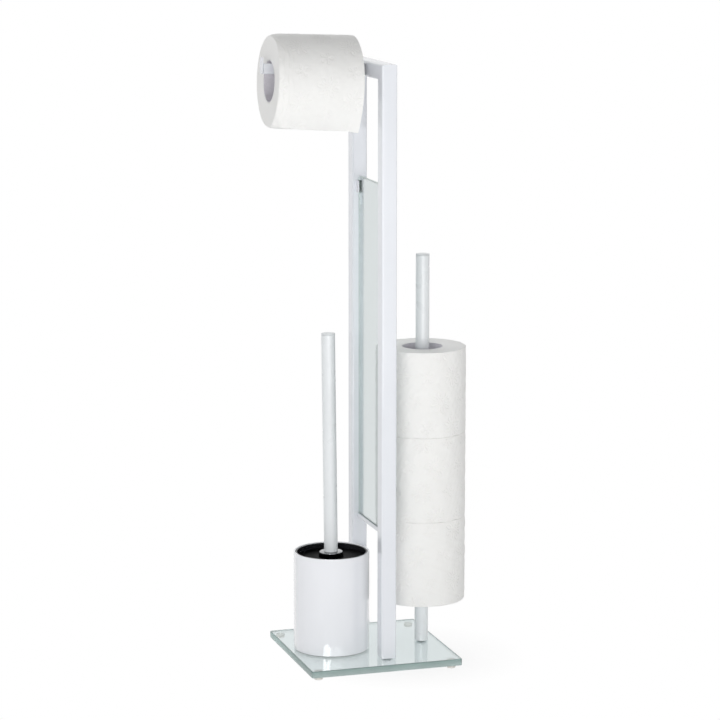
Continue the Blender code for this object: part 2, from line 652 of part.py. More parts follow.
def paper_roll(name, radius, length, axis):
    """A cardboard core with the paper wound on it, standing on its axis at Z = 0."""
    core = ring_profile(CORE_RADIUS, CORE_RADIUS + CORE_WALL, 0.0, length)
    turned(f"{name}_core", core, ROLL_SIDES, CARDBOARD, parent=axis, ring=True)
    paper = ring_profile(PAPER_BORE_RADIUS, radius, 0.0, length, ROLL_ROUNDING)
    turned(f"{name}_paper", paper, ROLL_SIDES, PAPER, parent=axis, ring=True)


def build_rolls():
    """The spare rolls on the rod, and the roll in use, hanging on the arm."""
    bottom = STOP_Z + SEAT_GAP
    for number in range(1, SPARE_ROLL_COUNT + 1):
        axis = empty_at(f"spare_roll_{number}_axis", (ROD_X, 0.0, bottom))
        paper_roll(f"spare_roll_{number}", SPARE_ROLL_RADIUS, SPARE_ROLL_LENGTH, axis)
        bottom += SPARE_ROLL_LENGTH + SEAT_GAP
    tilt = ARM_TILT + HUNG_ROLL_EXTRA_TILT
    inner_x = FRAME_LEFT_X - HUNG_ROLL_SETBACK
    arm_top = ARM_Z + ARM_HEIGHT / 2 / math.cos(ARM_TILT) + HUNG_ROLL_SETBACK * math.tan(ARM_TILT)
    flat_radius = CORE_RADIUS * math.cos(math.pi / ROLL_SIDES)
    hang = math.sqrt(flat_radius**2 - (ARM_DEPTH / 2) ** 2)
    inner_end = (inner_x, 0.0, arm_top + SEAT_GAP - hang)
    axis = empty_at("hanging_roll_axis", inner_end, (0.0, tilt - math.pi / 2, 0.0))
    paper_roll("hanging_roll", HUNG_ROLL_RADIUS, HUNG_ROLL_LENGTH, axis)


def build_holder():
    """The sleeve with its hemmed rim, its floor, and the gasket that both stand on."""
    axis = empty_at("holder_axis", (HOLDER_X, 0.0, 0.0))
    bore = SCREW_RADIUS + SEAT_GAP
    pad_radius = HOLDER_RADIUS - HOLDER_GASKET_INSET
    pad = ring_profile(bore, pad_radius, SEATED, SEATED + HOLDER_GASKET_THICKNESS)
    turned("holder_gasket", pad, HOLDER_SIDES, CLEAR_RUBBER, parent=axis, ring=True)
    floor = HOLDER_BASE + HOLDER_WALL
    inside = HOLDER_RADIUS - HOLDER_WALL
    rim_inside = HOLDER_RADIUS - RIM_WIDTH
    shoulder = RIM_TOP - RIM_DEPTH
    step = inside - rim_inside
    sleeve = [(inside, HOLDER_BASE), (inside, shoulder - step), (rim_inside, shoulder)]
    sleeve += arc((rim_inside + RIM_ROUNDING, RIM_TOP - RIM_ROUNDING), RIM_ROUNDING, 180, 90)
    sleeve += arc((HOLDER_RADIUS - RIM_ROUNDING, RIM_TOP - RIM_ROUNDING), RIM_ROUNDING, 90, 0)
    bend = HOLDER_RADIUS - HOLDER_ROUNDING
    sleeve += arc((bend, HOLDER_BASE + HOLDER_ROUNDING), HOLDER_ROUNDING, 0, -90)
    turned("brush_holder", sleeve, HOLDER_SIDES, WHITE_PAINT, parent=axis, ring=True)
    disc = ring_profile(bore, inside - SEAT_GAP, HOLDER_BASE, floor)
    turned("holder_floor", disc, HOLDER_SIDES, WHITE_PAINT, parent=axis, ring=True)
    build_holder_bolt(axis, floor)


def build_holder_bolt(axis, floor):
    """A bolt from inside the sleeve, with a washer and a nut under the plate."""
    washer_bottom = WASHER_TOP - WASHER_THICKNESS
    washer = ring_profile(SCREW_RADIUS + SEAT_GAP, WASHER_RADIUS, washer_bottom, WASHER_TOP)
    turned("holder_washer", washer, SCREW_SIDES, WHITE_PLASTIC, parent=axis, ring=True)
    nut_top = washer_bottom - SEAT_GAP
    outlines = [circle(NUT_RADIUS, NUT_SIDES), circle(SCREW_RADIUS + SEAT_GAP, SCREW_SIDES)]
    nut_middle = (0.0, 0.0, nut_top - NUT_THICKNESS / 2)
    extruded("holder_nut", outlines, NUT_THICKNESS, ZINC_STEEL, nut_middle, parent=axis)
    seat = floor + SEAT_GAP
    top = seat + SCREW_HEAD_HEIGHT
    tip = nut_top - NUT_THICKNESS - BOLT_END
    centre = (SCREW_HEAD_RADIUS - SCREW_HEAD_ROUNDING, top - SCREW_HEAD_ROUNDING)
    bolt = [(0.0, top), *arc(centre, SCREW_HEAD_ROUNDING, 90, 0)]
    bolt += [(SCREW_HEAD_RADIUS, seat), (SCREW_RADIUS, seat), (SCREW_RADIUS, tip), (0.0, tip)]
    turned("holder_bolt", bolt, SCREW_SIDES, ZINC_STEEL, parent=axis)


def build_container():
    """The black container in the sleeve: a stepped cup with a ledge for the lid."""
    axis = empty_at("container_axis", (HOLDER_X, 0.0, LINER_BASE))
    top = RIM_TOP - LINER_SINK - LINER_BASE
    ledge = LEDGE_Z - LINER_BASE
    upper = LINER_RADIUS - LINER_WALL
    lower = upper - LINER_WALL
    foot = lower - LINER_DRAFT
    rise = LINER_RECESS_RADIUS - LINER_WALL
    raised = LINER_RECESS + LINER_WALL
    inner_round = LINER_BOTTOM_ROUNDING - LINER_WALL
    bend = foot - inner_round
    rim = top - LINER_ROUNDING
    cup = [(0.0, raised), (LINER_RECESS_RADIUS, raised), (LINER_RECESS_RADIUS + LINER_WALL, LINER_WALL)]
    cup += arc((bend, LINER_BOTTOM_ROUNDING), inner_round, -90, 0)
    cup += [(lower, ledge), (upper, ledge)]
    cup += arc((upper + LINER_ROUNDING, rim), LINER_ROUNDING, 180, 90, RIM_STEPS)
    cup += arc((LINER_RADIUS - LINER_ROUNDING, rim), LINER_ROUNDING, 90, 0, RIM_STEPS)
    cup += [(LINER_RADIUS, ledge - LINER_WALL), (upper, ledge - LINER_WALL)]
    cup += arc((bend, LINER_BOTTOM_ROUNDING), LINER_BOTTOM_ROUNDING, 0, -90)
    cup += [(LINER_RECESS_RADIUS, 0.0), (rise, LINER_RECESS), (0.0, LINER_RECESS)]
    turned("inner_container", cup, HOLDER_SIDES, BLACK_PLASTIC, parent=axis)


def build_brush():
    """The brush. Its axis starts at the lid's top and leans to the left."""
    axis = empty_at("brush_axis", (HOLDER_X - BRUSH_SHIFT, 0.0, LID_TOP), (0.0, -BRUSH_LEAN, 0.0))
    bore = STEM_RADIUS + SEAT_GAP
    under = LID_RADIUS - LID_SKIN
    lid = [(bore, COLLAR_HEIGHT)]
    lid += arc((COLLAR_RADIUS - COLLAR_ROUNDING, COLLAR_HEIGHT - COLLAR_ROUNDING), COLLAR_ROUNDING, 90, 0)
    lid.append((COLLAR_RADIUS, 0.0))
    lid += arc((LID_RADIUS - LID_ROUNDING, -LID_ROUNDING), LID_ROUNDING, 90, 0, RIM_STEPS)
    lid += [(LID_RADIUS, -LID_DEPTH), (under, -LID_DEPTH), (under, -LID_SKIN), (bore, -LID_SKIN)]
    turned("splash_lid", lid, HOLDER_SIDES, BLACK_PLASTIC, parent=axis, ring=True)
    flange_bottom = COLLAR_HEIGHT + SEAT_GAP
    flange_top = flange_bottom + FLANGE_THICKNESS
    flange = ring_profile(bore, FLANGE_RADIUS, flange_bottom, flange_top, FLANGE_ROUNDING)
    turned("handle_flange", flange, TUBE_SIDES, POLISHED_STEEL, parent=axis, ring=True)
    build_handle(axis, flange_top + SEAT_GAP, bore)
    build_brush_head(axis, flange_top + SEAT_GAP, bore)


def build_handle(axis, bottom, stem_bore):
    """The handle tube, its cap, and the insert that holds the stem."""
    inside = HANDLE_RADIUS - HANDLE_WALL
    top = bottom + HANDLE_LENGTH
    tube = ring_profile(inside, HANDLE_RADIUS, bottom, top - CAP_THICKNESS - SEAT_GAP)
    turned("brush_handle", tube, TUBE_SIDES, SATIN_WHITE, parent=axis, ring=True)
    turned("handle_cap", cap_profile(HANDLE_RADIUS, inside, top), TUBE_SIDES, SATIN_WHITE, parent=axis)
    plug = inside - SEAT_GAP
    floor = bottom + STEM_GRIP + SEAT_GAP
    insert_top = bottom + HANDLE_INSERT_LENGTH
    insert = [(0.0, insert_top), (plug, insert_top), (plug, bottom)]
    insert += [(stem_bore, bottom), (stem_bore, floor), (0.0, floor)]
    turned("handle_insert", insert, TUBE_SIDES, GREY_PLASTIC, parent=axis)


def build_brush_head(axis, handle_bottom, stem_bore):
    """The stem from the handle down through the lid, and the bristle head on its end."""
    floor_z = LINER_BASE + LINER_RECESS + LINER_WALL
    bottom = floor_z + HEAD_CLEARANCE - LID_TOP
    top = -HEAD_DROP
    stem = pin_profile(STEM_RADIUS, top - STEM_GRIP, handle_bottom + STEM_GRIP, STEM_CHAMFER)
    turned("brush_stem", stem, SCREW_SIDES, BLACK_PLASTIC, parent=axis)
    core = head_core(top, bottom + HEAD_DOME_DEPTH, stem_bore)
    head = turned("brush_head", core, BRISTLE_COLUMNS, BRISTLE, parent=axis)
    grow_bristles(head, top - HEAD_NECK_LENGTH, bottom + HEAD_DOME_DEPTH)


def head_core(top, dome_z, bore):
    """Cross-section of the head's core: stem socket, neck, and a step for each row of bristles."""
    socket = top - STEM_GRIP - SEAT_GAP
    shoulder = top - HEAD_NECK_LENGTH
    core = [(0.0, socket), (bore, socket), (bore, top), (HEAD_NECK_RADIUS, top)]
    for row in range(BRISTLE_ROWS):
        core.append((HEAD_NECK_RADIUS, shoulder + (dome_z - shoulder) * row / BRISTLE_ROWS))
    for row in range(BRISTLE_DOME_ROWS + 1):
        turn = BRISTLE_DOME_ANGLE * row / BRISTLE_DOME_ROWS
        core.append((HEAD_NECK_RADIUS * math.cos(turn), dome_z - HEAD_NECK_RADIUS * math.sin(turn)))
    core.append((0.0, core[-1][1]))
    return core


def grow_bristles(head, shoulder, dome_z):
    """Draws every second face of the core's rows out into a strand, in a diamond pattern."""
    mesh = evaluated_mesh(head)
    head.modifiers.clear()
    head.data = mesh
    form = bmesh.new()
    form.from_mesh(mesh)
    pitch = (shoulder - dome_z) / BRISTLE_ROWS
    roots = []
    for face in form.faces:
        middle = face.calc_center_median()
        outward = face.normal.x * middle.x + face.normal.y * middle.y
        if len(face.verts) == 3 or middle.z > shoulder or outward <= 0:
            continue
        turn = math.atan2(middle.y, middle.x) % (2 * math.pi)
        column = int(turn / (2 * math.pi) * BRISTLE_COLUMNS)
        row = int((shoulder - middle.z) / pitch)
        if middle.z < dome_z:
            slope = math.atan2(dome_z - middle.z, math.hypot(middle.x, middle.y))
            row = BRISTLE_ROWS + int(slope / BRISTLE_DOME_ANGLE * BRISTLE_DOME_ROWS)
        if (column + row) % 2 == 0:
            roots.append(face)
    for tip in bmesh.ops.extrude_discrete_faces(form, faces=roots)["faces"]:
        middle = tip.calc_center_median()
        reach = math.hypot(middle.x, middle.y)
        slope = max(0.0, math.atan2(dome_z - middle.z, reach))
        fullness = min(1.0, (shoulder - middle.z) / HEAD_SHOULDER_DEPTH)
        end_reach = HEAD_RADIUS * math.cos(slope) * (1 - SHOULDER_SHARE * (1 - fullness) ** 2)
        end = Vector((middle.x / reach * end_reach, middle.y / reach * end_reach, middle.z))
        if slope:
            end.z = dome_z - HEAD_DOME_DEPTH * math.sin(slope)
        for vertex in tip.verts:
            vertex.co = end + (vertex.co - middle) * BRISTLE_TIP_SHARE
    form.to_mesh(mesh)
    form.free()


def build():
    build_base()
    bar = build_frame()
    build_plate_screws()
    build_arm(bar)
    build_panel()
    build_spare_rod()
    build_holder()
    build_container()
    build_brush()
    build_rolls()


build()
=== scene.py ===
"""Looks for the toilet butler stand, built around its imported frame."""

import json
import math

import bmesh
import bpy
import numpy as np
from mathutils import Matrix, Vector


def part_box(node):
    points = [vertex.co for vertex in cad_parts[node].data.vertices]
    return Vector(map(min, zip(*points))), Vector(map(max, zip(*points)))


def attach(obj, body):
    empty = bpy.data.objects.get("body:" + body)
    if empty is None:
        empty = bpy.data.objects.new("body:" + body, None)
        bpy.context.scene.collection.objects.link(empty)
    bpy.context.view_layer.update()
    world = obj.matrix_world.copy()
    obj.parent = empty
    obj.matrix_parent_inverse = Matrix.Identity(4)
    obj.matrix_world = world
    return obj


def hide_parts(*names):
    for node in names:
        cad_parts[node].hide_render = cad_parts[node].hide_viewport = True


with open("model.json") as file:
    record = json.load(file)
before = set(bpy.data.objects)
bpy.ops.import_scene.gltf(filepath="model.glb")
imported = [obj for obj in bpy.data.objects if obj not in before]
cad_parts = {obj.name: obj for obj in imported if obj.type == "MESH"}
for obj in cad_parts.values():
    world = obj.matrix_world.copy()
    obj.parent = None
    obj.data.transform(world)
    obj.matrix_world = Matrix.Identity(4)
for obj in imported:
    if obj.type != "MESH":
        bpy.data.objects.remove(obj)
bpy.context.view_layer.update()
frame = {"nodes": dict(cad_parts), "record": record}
NODES = frame["nodes"]

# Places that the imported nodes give, in metres
PLATE_LOW, PLATE_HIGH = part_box("base_plate")
SLEEVE_LOW, SLEEVE_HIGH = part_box("brush_holder")
POST_LOW, POST_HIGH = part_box("front_upright")
REAR_LOW, REAR_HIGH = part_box("rear_upright")
PANE_LOW, PANE_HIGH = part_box("glass_panel")
ROD_LOW, ROD_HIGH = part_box("spare_rod")
ROD_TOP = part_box("rod_cap")[1].z
STOP_LOW, STOP_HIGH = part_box("stop_disc")
HOLDER_X = (SLEEVE_LOW.x + SLEEVE_HIGH.x) / 2
HOLDER_RADIUS = (SLEEVE_HIGH.x - SLEEVE_LOW.x) / 2
ROD_X = (ROD_LOW.x + ROD_HIGH.x) / 2
ROD_RADIUS = (ROD_HIGH.x - ROD_LOW.x) / 2
FRAME_X = (POST_LOW.x + POST_HIGH.x) / 2
TUBE_SIDE = POST_HIGH.x - POST_LOW.x
GAP = 0.0003  # between two pieces that touch

# The arm and the pieces that lean: their slants, and where their axes start
ARM_TILT = math.radians(1.6)
ARM_HEIGHT = 0.012
ARM_DEPTH = 0.010
ARM_Z = 0.6915
HUNG_TILT = math.radians(2.4)
HUNG_INNER_END = (-0.0172, 0.0, 0.676115)
BRUSH_LEAN = math.radians(0.67)
LID_TOP = (-0.0411, 0.0, 0.1229)

# Sides of the turned pieces, from small ones to wide walls
SCREW_SIDES = 40
PAD_SIDES = 48
SMALL_SIDES = 64
BOARD_SIDES = 96
SMOOTH_SIDES = 128
WIDE_SIDES = 160
SLEEVE_SIDES = 192

# Edges from these angles on stay sharp: on turned pieces, cut glass, folded strip and bars
SHARP = math.radians(38)
CUT_SHARP = math.radians(40)
FOLD_SHARP = math.radians(50)
BAR_SHARP = math.radians(60)


def standing(x, y=0.0, z=0.0):
    """A turned piece's place: its axis stands at x, y and starts at z."""
    return Matrix.Translation((x, y, z))


def leaning(spot, turn):
    """The place of a piece whose axis starts at spot and is turned about Y from upright."""
    return Matrix.Translation(spot) @ Matrix.Rotation(turn, 4, "Y")


def foot_point(node):
    """The middle of a node's underside."""
    low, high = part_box(node)
    return (low.x + high.x) / 2, (low.y + high.y) / 2, low.z


ON_BRUSH = leaning(LID_TOP, -BRUSH_LEAN)
ON_HUNG_AXIS = leaning(HUNG_INNER_END, HUNG_TILT - math.pi / 2)
ON_ARM = leaning((POST_LOW.x, 0.0, ARM_Z), ARM_TILT - math.pi / 2)


# Finishes


class Finish:
    """A node material that is put together around one Principled shader."""

    def __init__(self, name, **sockets):
        self.material = bpy.data.materials.new(name)
        self.material.use_nodes = True
        self.tree = self.material.node_tree
        self.shader = self.tree.nodes["Principled BSDF"]
        self.output = self.tree.nodes["Material Output"]
        for label, value in sockets.items():
            self.shader.inputs[label.replace("_", " ")].default_value = value

    def node(self, kind, **values):
        """Adds a node. Each value goes to the setting, or else the socket, of that name."""
        made = self.tree.nodes.new(kind)
        for label, value in values.items():
            if hasattr(made, label):
                setattr(made, label, value)
            else:
                made.inputs[label.replace("_", " ")].default_value = value
        return made

    def link(self, source, target):
        self.tree.links.new(source, target)

    def place(self, stretch=(1.0, 1.0, 1.0), turn=(0.0, 0.0, 0.0), shift=(0.0, 0.0, 0.0)):
        """Object coordinates, stretched, turned and shifted."""
        where = self.node("ShaderNodeTexCoord").outputs["Object"]
        mapping = self.node("ShaderNodeMapping", Location=shift, Scale=stretch, Rotation=turn)
        self.link(where, mapping.inputs["Vector"])
        return mapping.outputs["Vector"]

    def noise(self, scale, detail=2.0, where=None, roughness=0.5):
        made = self.node("ShaderNodeTexNoise", Scale=scale, Detail=detail, Roughness=roughness)
        self.link(self.place() if where is None else where, made.inputs["Vector"])
        return made.outputs["Fac"]

    def ramp(self, source, low, high, start=0.35, end=0.65):
        """Spreads a 0 to 1 value between two colours."""
        made = self.node("ShaderNodeValToRGB")
        made.color_ramp.elements[0].position = start
        made.color_ramp.elements[1].position = end
        made.color_ramp.elements[0].color = (*low, 1.0)
        made.color_ramp.elements[1].color = (*high, 1.0)
        self.link(source, made.inputs["Fac"])
        return made.outputs["Color"]

    def spread(self, source, low, high, start=0.3, end=0.7):
        """Spreads a 0 to 1 value between two numbers."""
        limits = {"From_Min": start, "From_Max": end, "To_Min": low, "To_Max": high}
        made = self.node("ShaderNodeMapRange", **limits)
        self.link(source, made.inputs["Value"])
        return made.outputs["Result"]

    def math(self, operation, *values):
        """A math node; each value is a number or a socket."""
        made = self.node("ShaderNodeMath", operation=operation)
        for socket, value in zip(made.inputs, values):
            if isinstance(value, (int, float)):
                socket.default_value = value
            else:
                self.link(value, socket)
        return made.outputs["Value"]

    def colour(self, source):
        self.link(source, self.shader.inputs["Base Color"])

    def roughness(self, source):
        self.link(source, self.shader.inputs["Roughness"])

    def bump(self, height, distance, strength=1.0):
        made = self.node("ShaderNodeBump", Distance=distance, Strength=strength)
        self.link(height, made.inputs["Height"])
        self.link(made.outputs["Normal"], self.shader.inputs["Normal"])

    def mixed(self, share, other):
        """Shows another shader in place of the Principled one, by a share from 0 to 1."""
        mix = self.node("ShaderNodeMixShader")
        self.link(share, mix.inputs["Fac"])
        self.link(self.shader.outputs["BSDF"], mix.inputs[1])
        self.link(other, mix.inputs[2])
        self.link(mix.outputs["Shader"], self.output.inputs["Surface"])


def sprayed_white(name, tone, deep, rough, peel, coat=0.25):
    """White powder coat: a faint cloudiness and the fine peel of the sprayed skin."""
    finish = Finish(name, IOR=1.5, Coat_Weight=coat, Coat_Roughness=0.09)
    finish.colour(finish.ramp(finish.noise(9.0, 3.0), deep, tone))
    finish.roughness(finish.spread(finish.noise(60.0, 3.0), rough * 0.85, rough * 1.2))
    finish.bump(finish.noise(420.0, 1.0), peel)
    return finish.material


CLOUDED = 0.985  # how dark the glass gets in its clouds, as a share of its tint


def clear_glass(name, tint, depth_colour, density, lit=None):
    """Float glass: clear, with the green of its depth in its edges. lit is the tint that lamps
    get in passing it, where that isn't its own."""
    finish = Finish(name, IOR=1.52, Transmission_Weight=1.0, Roughness=0.0)
    clouds = tuple(CLOUDED * c for c in tint)
    finish.colour(finish.ramp(finish.noise(5.0, 1.0), clouds, tint))
    colour = (*depth_colour, 1.0)
    depth = finish.node("ShaderNodeVolumeAbsorption", Density=density, Color=colour)
    finish.link(depth.outputs["Volume"], finish.output.inputs["Volume"])
    finish.bump(finish.noise(7.0, 1.0), 0.00002)
    lets_lamps_through(finish, lit or tint)
    return finish.material


def lets_lamps_through(finish, tint):
    """Lamps shine through the glass, so what stands behind it or under it stays lit."""
    clear = finish.node("ShaderNodeBsdfTransparent", Color=(*tint, 1.0))
    rays = finish.node("ShaderNodeLightPath")
    finish.mixed(rays.outputs["Is Shadow Ray"], clear.outputs["BSDF"])


CLOUD_SHARE = 0.3  # how much the clouds shift the height at which the painted shade deepens the green


def ground_edge(name, tint, deep, rough, clear, foot=None, rise=None):
    """The ground and half polished edge of float glass, which scatters its green.
    foot and rise give the height over which the edge is painted darker and deeper green towards its
    top, as painted shade, lighter at its foot."""
    finish = Finish(name, IOR=1.52, Transmission_Weight=clear, Specular_IOR_Level=0.2)
    cloud = finish.noise(24.0, 2.0)
    if rise is None:
        finish.colour(finish.ramp(cloud, deep, tint))
    else:
        # painted shade: the edge's colour runs from its lighter tint at the foot to its darker
        # green at the top
        height = finish.node("ShaderNodeSeparateXYZ")
        finish.link(finish.place(), height.inputs["Vector"])
        share = finish.spread(height.outputs["Z"], 0.0, 1.0, foot, foot + rise)
        share = finish.math("MULTIPLY_ADD", cloud, CLOUD_SHARE, share)
        finish.colour(finish.ramp(share, tint, deep, CLOUD_SHARE / 2, 1.15))
    finish.roughness(finish.spread(finish.noise(60.0, 3.0), rough * 0.9, rough * 1.1))
    finish.bump(finish.noise(900.0, 2.0), 0.00001)
    return finish.material


def moulded(name, tone, deep, rough, shine=0.5):
    """Injection-moulded plastic: an even skin with a slight bloom."""
    finish = Finish(name, IOR=1.48, Specular_IOR_Level=shine)
    finish.colour(finish.ramp(finish.noise(30.0, 3.0), deep, tone))
    finish.roughness(finish.spread(finish.noise(140.0, 4.0), rough * 0.8, rough * 1.25))
    finish.bump(finish.noise(900.0, 2.0), 0.00001)
    return finish.material


def turned_steel(name, tone, deep, rough, rings):
    """Plated or polished steel with fine turning marks round its axis."""
    finish = Finish(name, Metallic=1.0)
    marks = finish.noise(1.0, 3.0, finish.place((40.0, 40.0, rings)))
    finish.colour(finish.ramp(marks, deep, tone))
    finish.roughness(finish.spread(marks, rough * 0.75, rough * 1.3))
    finish.bump(marks, 0.000008)
    return finish.material


def tissue_paper(name, tone, deep):
    """Soft tissue: crepe lines along the roll's axis, pressed dots and loose fibres."""
    soft = {"Sheen_Weight": 0.15, "Sheen_Roughness": 0.5, "Specular_IOR_Level": 0.2}
    finish = Finish(name, Roughness=0.95, IOR=1.35, **soft)
    sheet = finish.node("ShaderNodeUVMap", uv_map="sheet").outputs["UV"]
    across = finish.node("ShaderNodeMapping", Scale=(1400.0, 260.0, 1.0))
    finish.link(sheet, across.inputs["Vector"])
    crepe = finish.noise(1.0, 3.0, across.outputs["Vector"], 0.6)
    fibres = finish.noise(700.0, 4.0, roughness=0.7)
    clouds = finish.noise(24.0, 4.0)
    finish.colour(finish.ramp(clouds, deep, tone, 0.3, 0.7))
    dots = finish.node("ShaderNodeTexVoronoi", Scale=420.0, Randomness=0.15)
    finish.link(sheet, dots.inputs["Vector"])
    pressed = finish.spread(dots.outputs["Distance"], 0.0, 1.0, 0.0, 0.5)
    both = finish.math("MULTIPLY_ADD", crepe, 0.7, finish.math("MULTIPLY", fibres, 0.6))
    finish.bump(finish.math("MULTIPLY_ADD", pressed, 0.35, both), 0.00009, 0.8)
    return finish.material


def rolled_board(name, tone, deep):
    """Grey board of the cores, with the slanting seam of its winding."""
    finish = Finish(name, Roughness=0.85, IOR=1.4)
    wave = {"Scale": 9.0, "Distortion": 0.4, "Detail": 1.0, "Detail_Scale": 3.0}
    strip = finish.node("ShaderNodeTexWave", **wave)
    finish.link(finish.place(turn=(0.5, 0.9, 0.0)), strip.inputs["Vector"])
    speck = finish.noise(380.0, 4.0, roughness=0.7)
    seam = finish.spread(strip.outputs["Fac"], 0.0, 1.0, 0.0, 0.12)
    finish.colour(finish.ramp(finish.math("MULTIPLY", speck, seam), deep, tone, 0.2, 0.6))
    finish.bump(finish.math("MULTIPLY_ADD", seam, 2.0, speck), 0.00006)
    return finish.material


def soft_pad(name, tone, deep, rough, clear):
    """Rubbery pads and gaskets. clear is the share of light that passes."""
    finish = Finish(name, IOR=1.45, Transmission_Weight=clear)
    finish.colour(finish.ramp(finish.noise(220.0, 3.0), deep, tone))
    finish.roughness(finish.spread(finish.noise(500.0, 2.0), rough * 0.8, rough * 1.2))
    finish.bump(finish.noise(1500.0, 2.0), 0.00001)
    return finish.material


def nylon(name, tone, deep):
    """Bristle nylon, a little clearer and brighter in streaks."""
    glow = {"Subsurface_Weight": 0.15, "Subsurface_Scale": 0.5}
    finish = Finish(name, IOR=1.53, Roughness=0.4, Subsurface_Radius=(0.002, 0.002, 0.002), **glow)
    finish.colour(finish.ramp(finish.noise(160.0, 3.0), deep, tone))
    finish.roughness(finish.spread(finish.noise(500.0, 2.0), 0.32, 0.5))
    return finish.material


# After a finish's name come its main colour and the colour of its clouds
FINISHES = {
    "white_paint": sprayed_white(
        "gloss_white_coat", (0.84, 0.86, 0.90), (0.81, 0.83, 0.87), rough=0.16, peel=0.000006
    ),
    "sleeve_paint": sprayed_white(
        "sleeve_gloss_coat", (0.88, 0.89, 0.92), (0.86, 0.87, 0.90), rough=0.055, peel=0.000001,
        coat=1.0,
    ),
    "satin_white_paint": sprayed_white(
        "satin_coat", (0.82, 0.845, 0.855), (0.79, 0.815, 0.825), rough=0.30, peel=0.000004
    ),
    "base_glass": clear_glass(
        "plate_glass", (0.715, 0.765, 0.775), depth_colour=(0.58, 0.80, 0.78), density=12.0
    ),
    "panel_glass": clear_glass(
        "panel_glass", (0.66, 0.69, 0.70), depth_colour=(0.50, 0.80, 0.72), density=14.0,
        lit=(0.92, 0.95, 0.94),
    ),
    # painted shade: the plate's edge is painted darker towards its top
    "plate_edge": ground_edge(
        "plate_ground_edge", (0.68, 0.79, 0.77), (0.42, 0.57, 0.54), rough=0.42, clear=0.50,
        foot=PLATE_LOW.z, rise=PLATE_HIGH.z - PLATE_LOW.z,
    ),
    "panel_edge": ground_edge(
        "panel_ground_edge", (0.80, 0.88, 0.85), (0.73, 0.83, 0.79), rough=0.42, clear=0.45
    ),
    "clear_rubber": soft_pad(
        "foot_pad", (0.79, 0.76, 0.70), (0.74, 0.71, 0.65), rough=0.40, clear=0.80
    ),
    # partly painted shade: the holder's pad is grey so that it draws a dark line at the sleeve's
    # foot
    "holder_pad": soft_pad(
        "holder_pad", (0.42, 0.44, 0.43), (0.36, 0.38, 0.37), rough=0.45, clear=0.2
    ),
    "dark_rubber": soft_pad(
        "gasket_rubber", (0.88, 0.92, 0.90), (0.83, 0.88, 0.86), rough=0.35, clear=0.92
    ),
    "black_plastic": moulded(
        "black_liner_plastic", (0.014, 0.014, 0.017), (0.008, 0.008, 0.010), rough=0.14
    ),
    "lid_plastic": moulded(
        "black_lid_plastic", (0.0012, 0.0011, 0.0012), (0.0009, 0.0008, 0.0009), rough=0.3,
        shine=0.012,
    ),
    "white_plastic": soft_pad(
        "clear_washer", (0.93, 0.94, 0.94), (0.89, 0.90, 0.90), rough=0.12, clear=0.9
    ),
    "grey_plastic": moulded(
        "grey_insert_plastic", (0.45, 0.46, 0.48), (0.40, 0.41, 0.43), rough=0.50
    ),
    "polished_steel": turned_steel(
        "flange_steel", (0.35, 0.355, 0.37), (0.25, 0.255, 0.265), rough=0.10, rings=900.0
    ),
    "zinc_steel": turned_steel(
        "screw_zinc", (0.88, 0.89, 0.90), (0.78, 0.79, 0.80), rough=0.38, rings=1400.0
    ),
    "bristle": nylon("bristle_nylon", (0.88, 0.89, 0.91), (0.80, 0.81, 0.83)),
    "paper": tissue_paper("embossed_tissue", (0.93, 0.925, 0.905), (0.905, 0.90, 0.88)),
    "cardboard": rolled_board("core_board", (0.74, 0.72, 0.76), (0.65, 0.63, 0.67)),
}


# Ways to make a piece


def piece(name, mesh, finish, body, *nodes):
    """Puts a finished mesh in the scene as the piece that stands for these nodes."""
    mesh.materials.clear()
    mesh.materials.append(FINISHES[finish])
    made = bpy.data.objects.new(name, mesh)
    bpy.context.scene.collection.objects.link(made)
    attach(made, body)
    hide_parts(*nodes)
    return made


MERGE = 1e-7  # vertices this close are one
SQUARE = 0.9995  # a face is square to an axis that its normal has this share of


def closed(bm, name, smooth=SHARP, flats=None):
    """Merges, turns the faces outwards and smooths all but the sharp edges.
    flats is the piece's own placing: faces square to its axes stay flat."""
    bmesh.ops.remove_doubles(bm, verts=bm.verts, dist=MERGE)
    bmesh.ops.recalc_face_normals(bm, faces=bm.faces)
    mesh = bpy.data.meshes.new(name)
    bm.to_mesh(mesh)
    bm.free()
    mesh.shade_smooth()
    mesh.set_sharp_from_angle(angle=smooth)
    if flats is not None:
        axes = flats.to_3x3().transposed()
        for face in mesh.polygons:
            face.use_smooth = max(abs(part) for part in axes @ face.normal) < SQUARE
    return mesh


LONG_SIDE = 0.010  # a side from this length on gets a row beside each of its arcs
ROW_GAP = 0.3  # how far from the arc that row lies, as a share of the arc's radius


def eased(points, steps=5):
    """An outline whose corners, given as (r, z, radius), are eased by arcs. The row beside
    an arc keeps the arc from tilting the shading of a long side."""
    outline = []
    for index, (r, z, radius) in enumerate(points):
        here = Vector((r, z))
        if not radius:
            outline.append(here)
            continue
        side_before = Vector(points[index - 1][:2]) - here
        side_after = Vector(points[(index + 1) % len(points)][:2]) - here
        before, after = side_before.normalized(), side_after.normalized()
        half = before.angle(after) / 2
        start = here + before * (radius / math.tan(half))
        middle = here + (before + after).normalized() * (radius / math.sin(half))
        end = here + after * (radius / math.tan(half))
        first, last = start - middle, end - middle
        turn = math.atan2(first.x * last.y - first.y * last.x, first.dot(last))
        if side_before.length > LONG_SIDE:
            outline.append(start + before * radius * ROW_GAP)
        for step in range(steps + 1):
            outline.append(middle + Matrix.Rotation(turn * step / steps, 2) @ first)
        if side_after.length > LONG_SIDE:
            outline.append(end + after * radius * ROW_GAP)
    return [(max(p.x, 0.0), p.y) for p in outline]


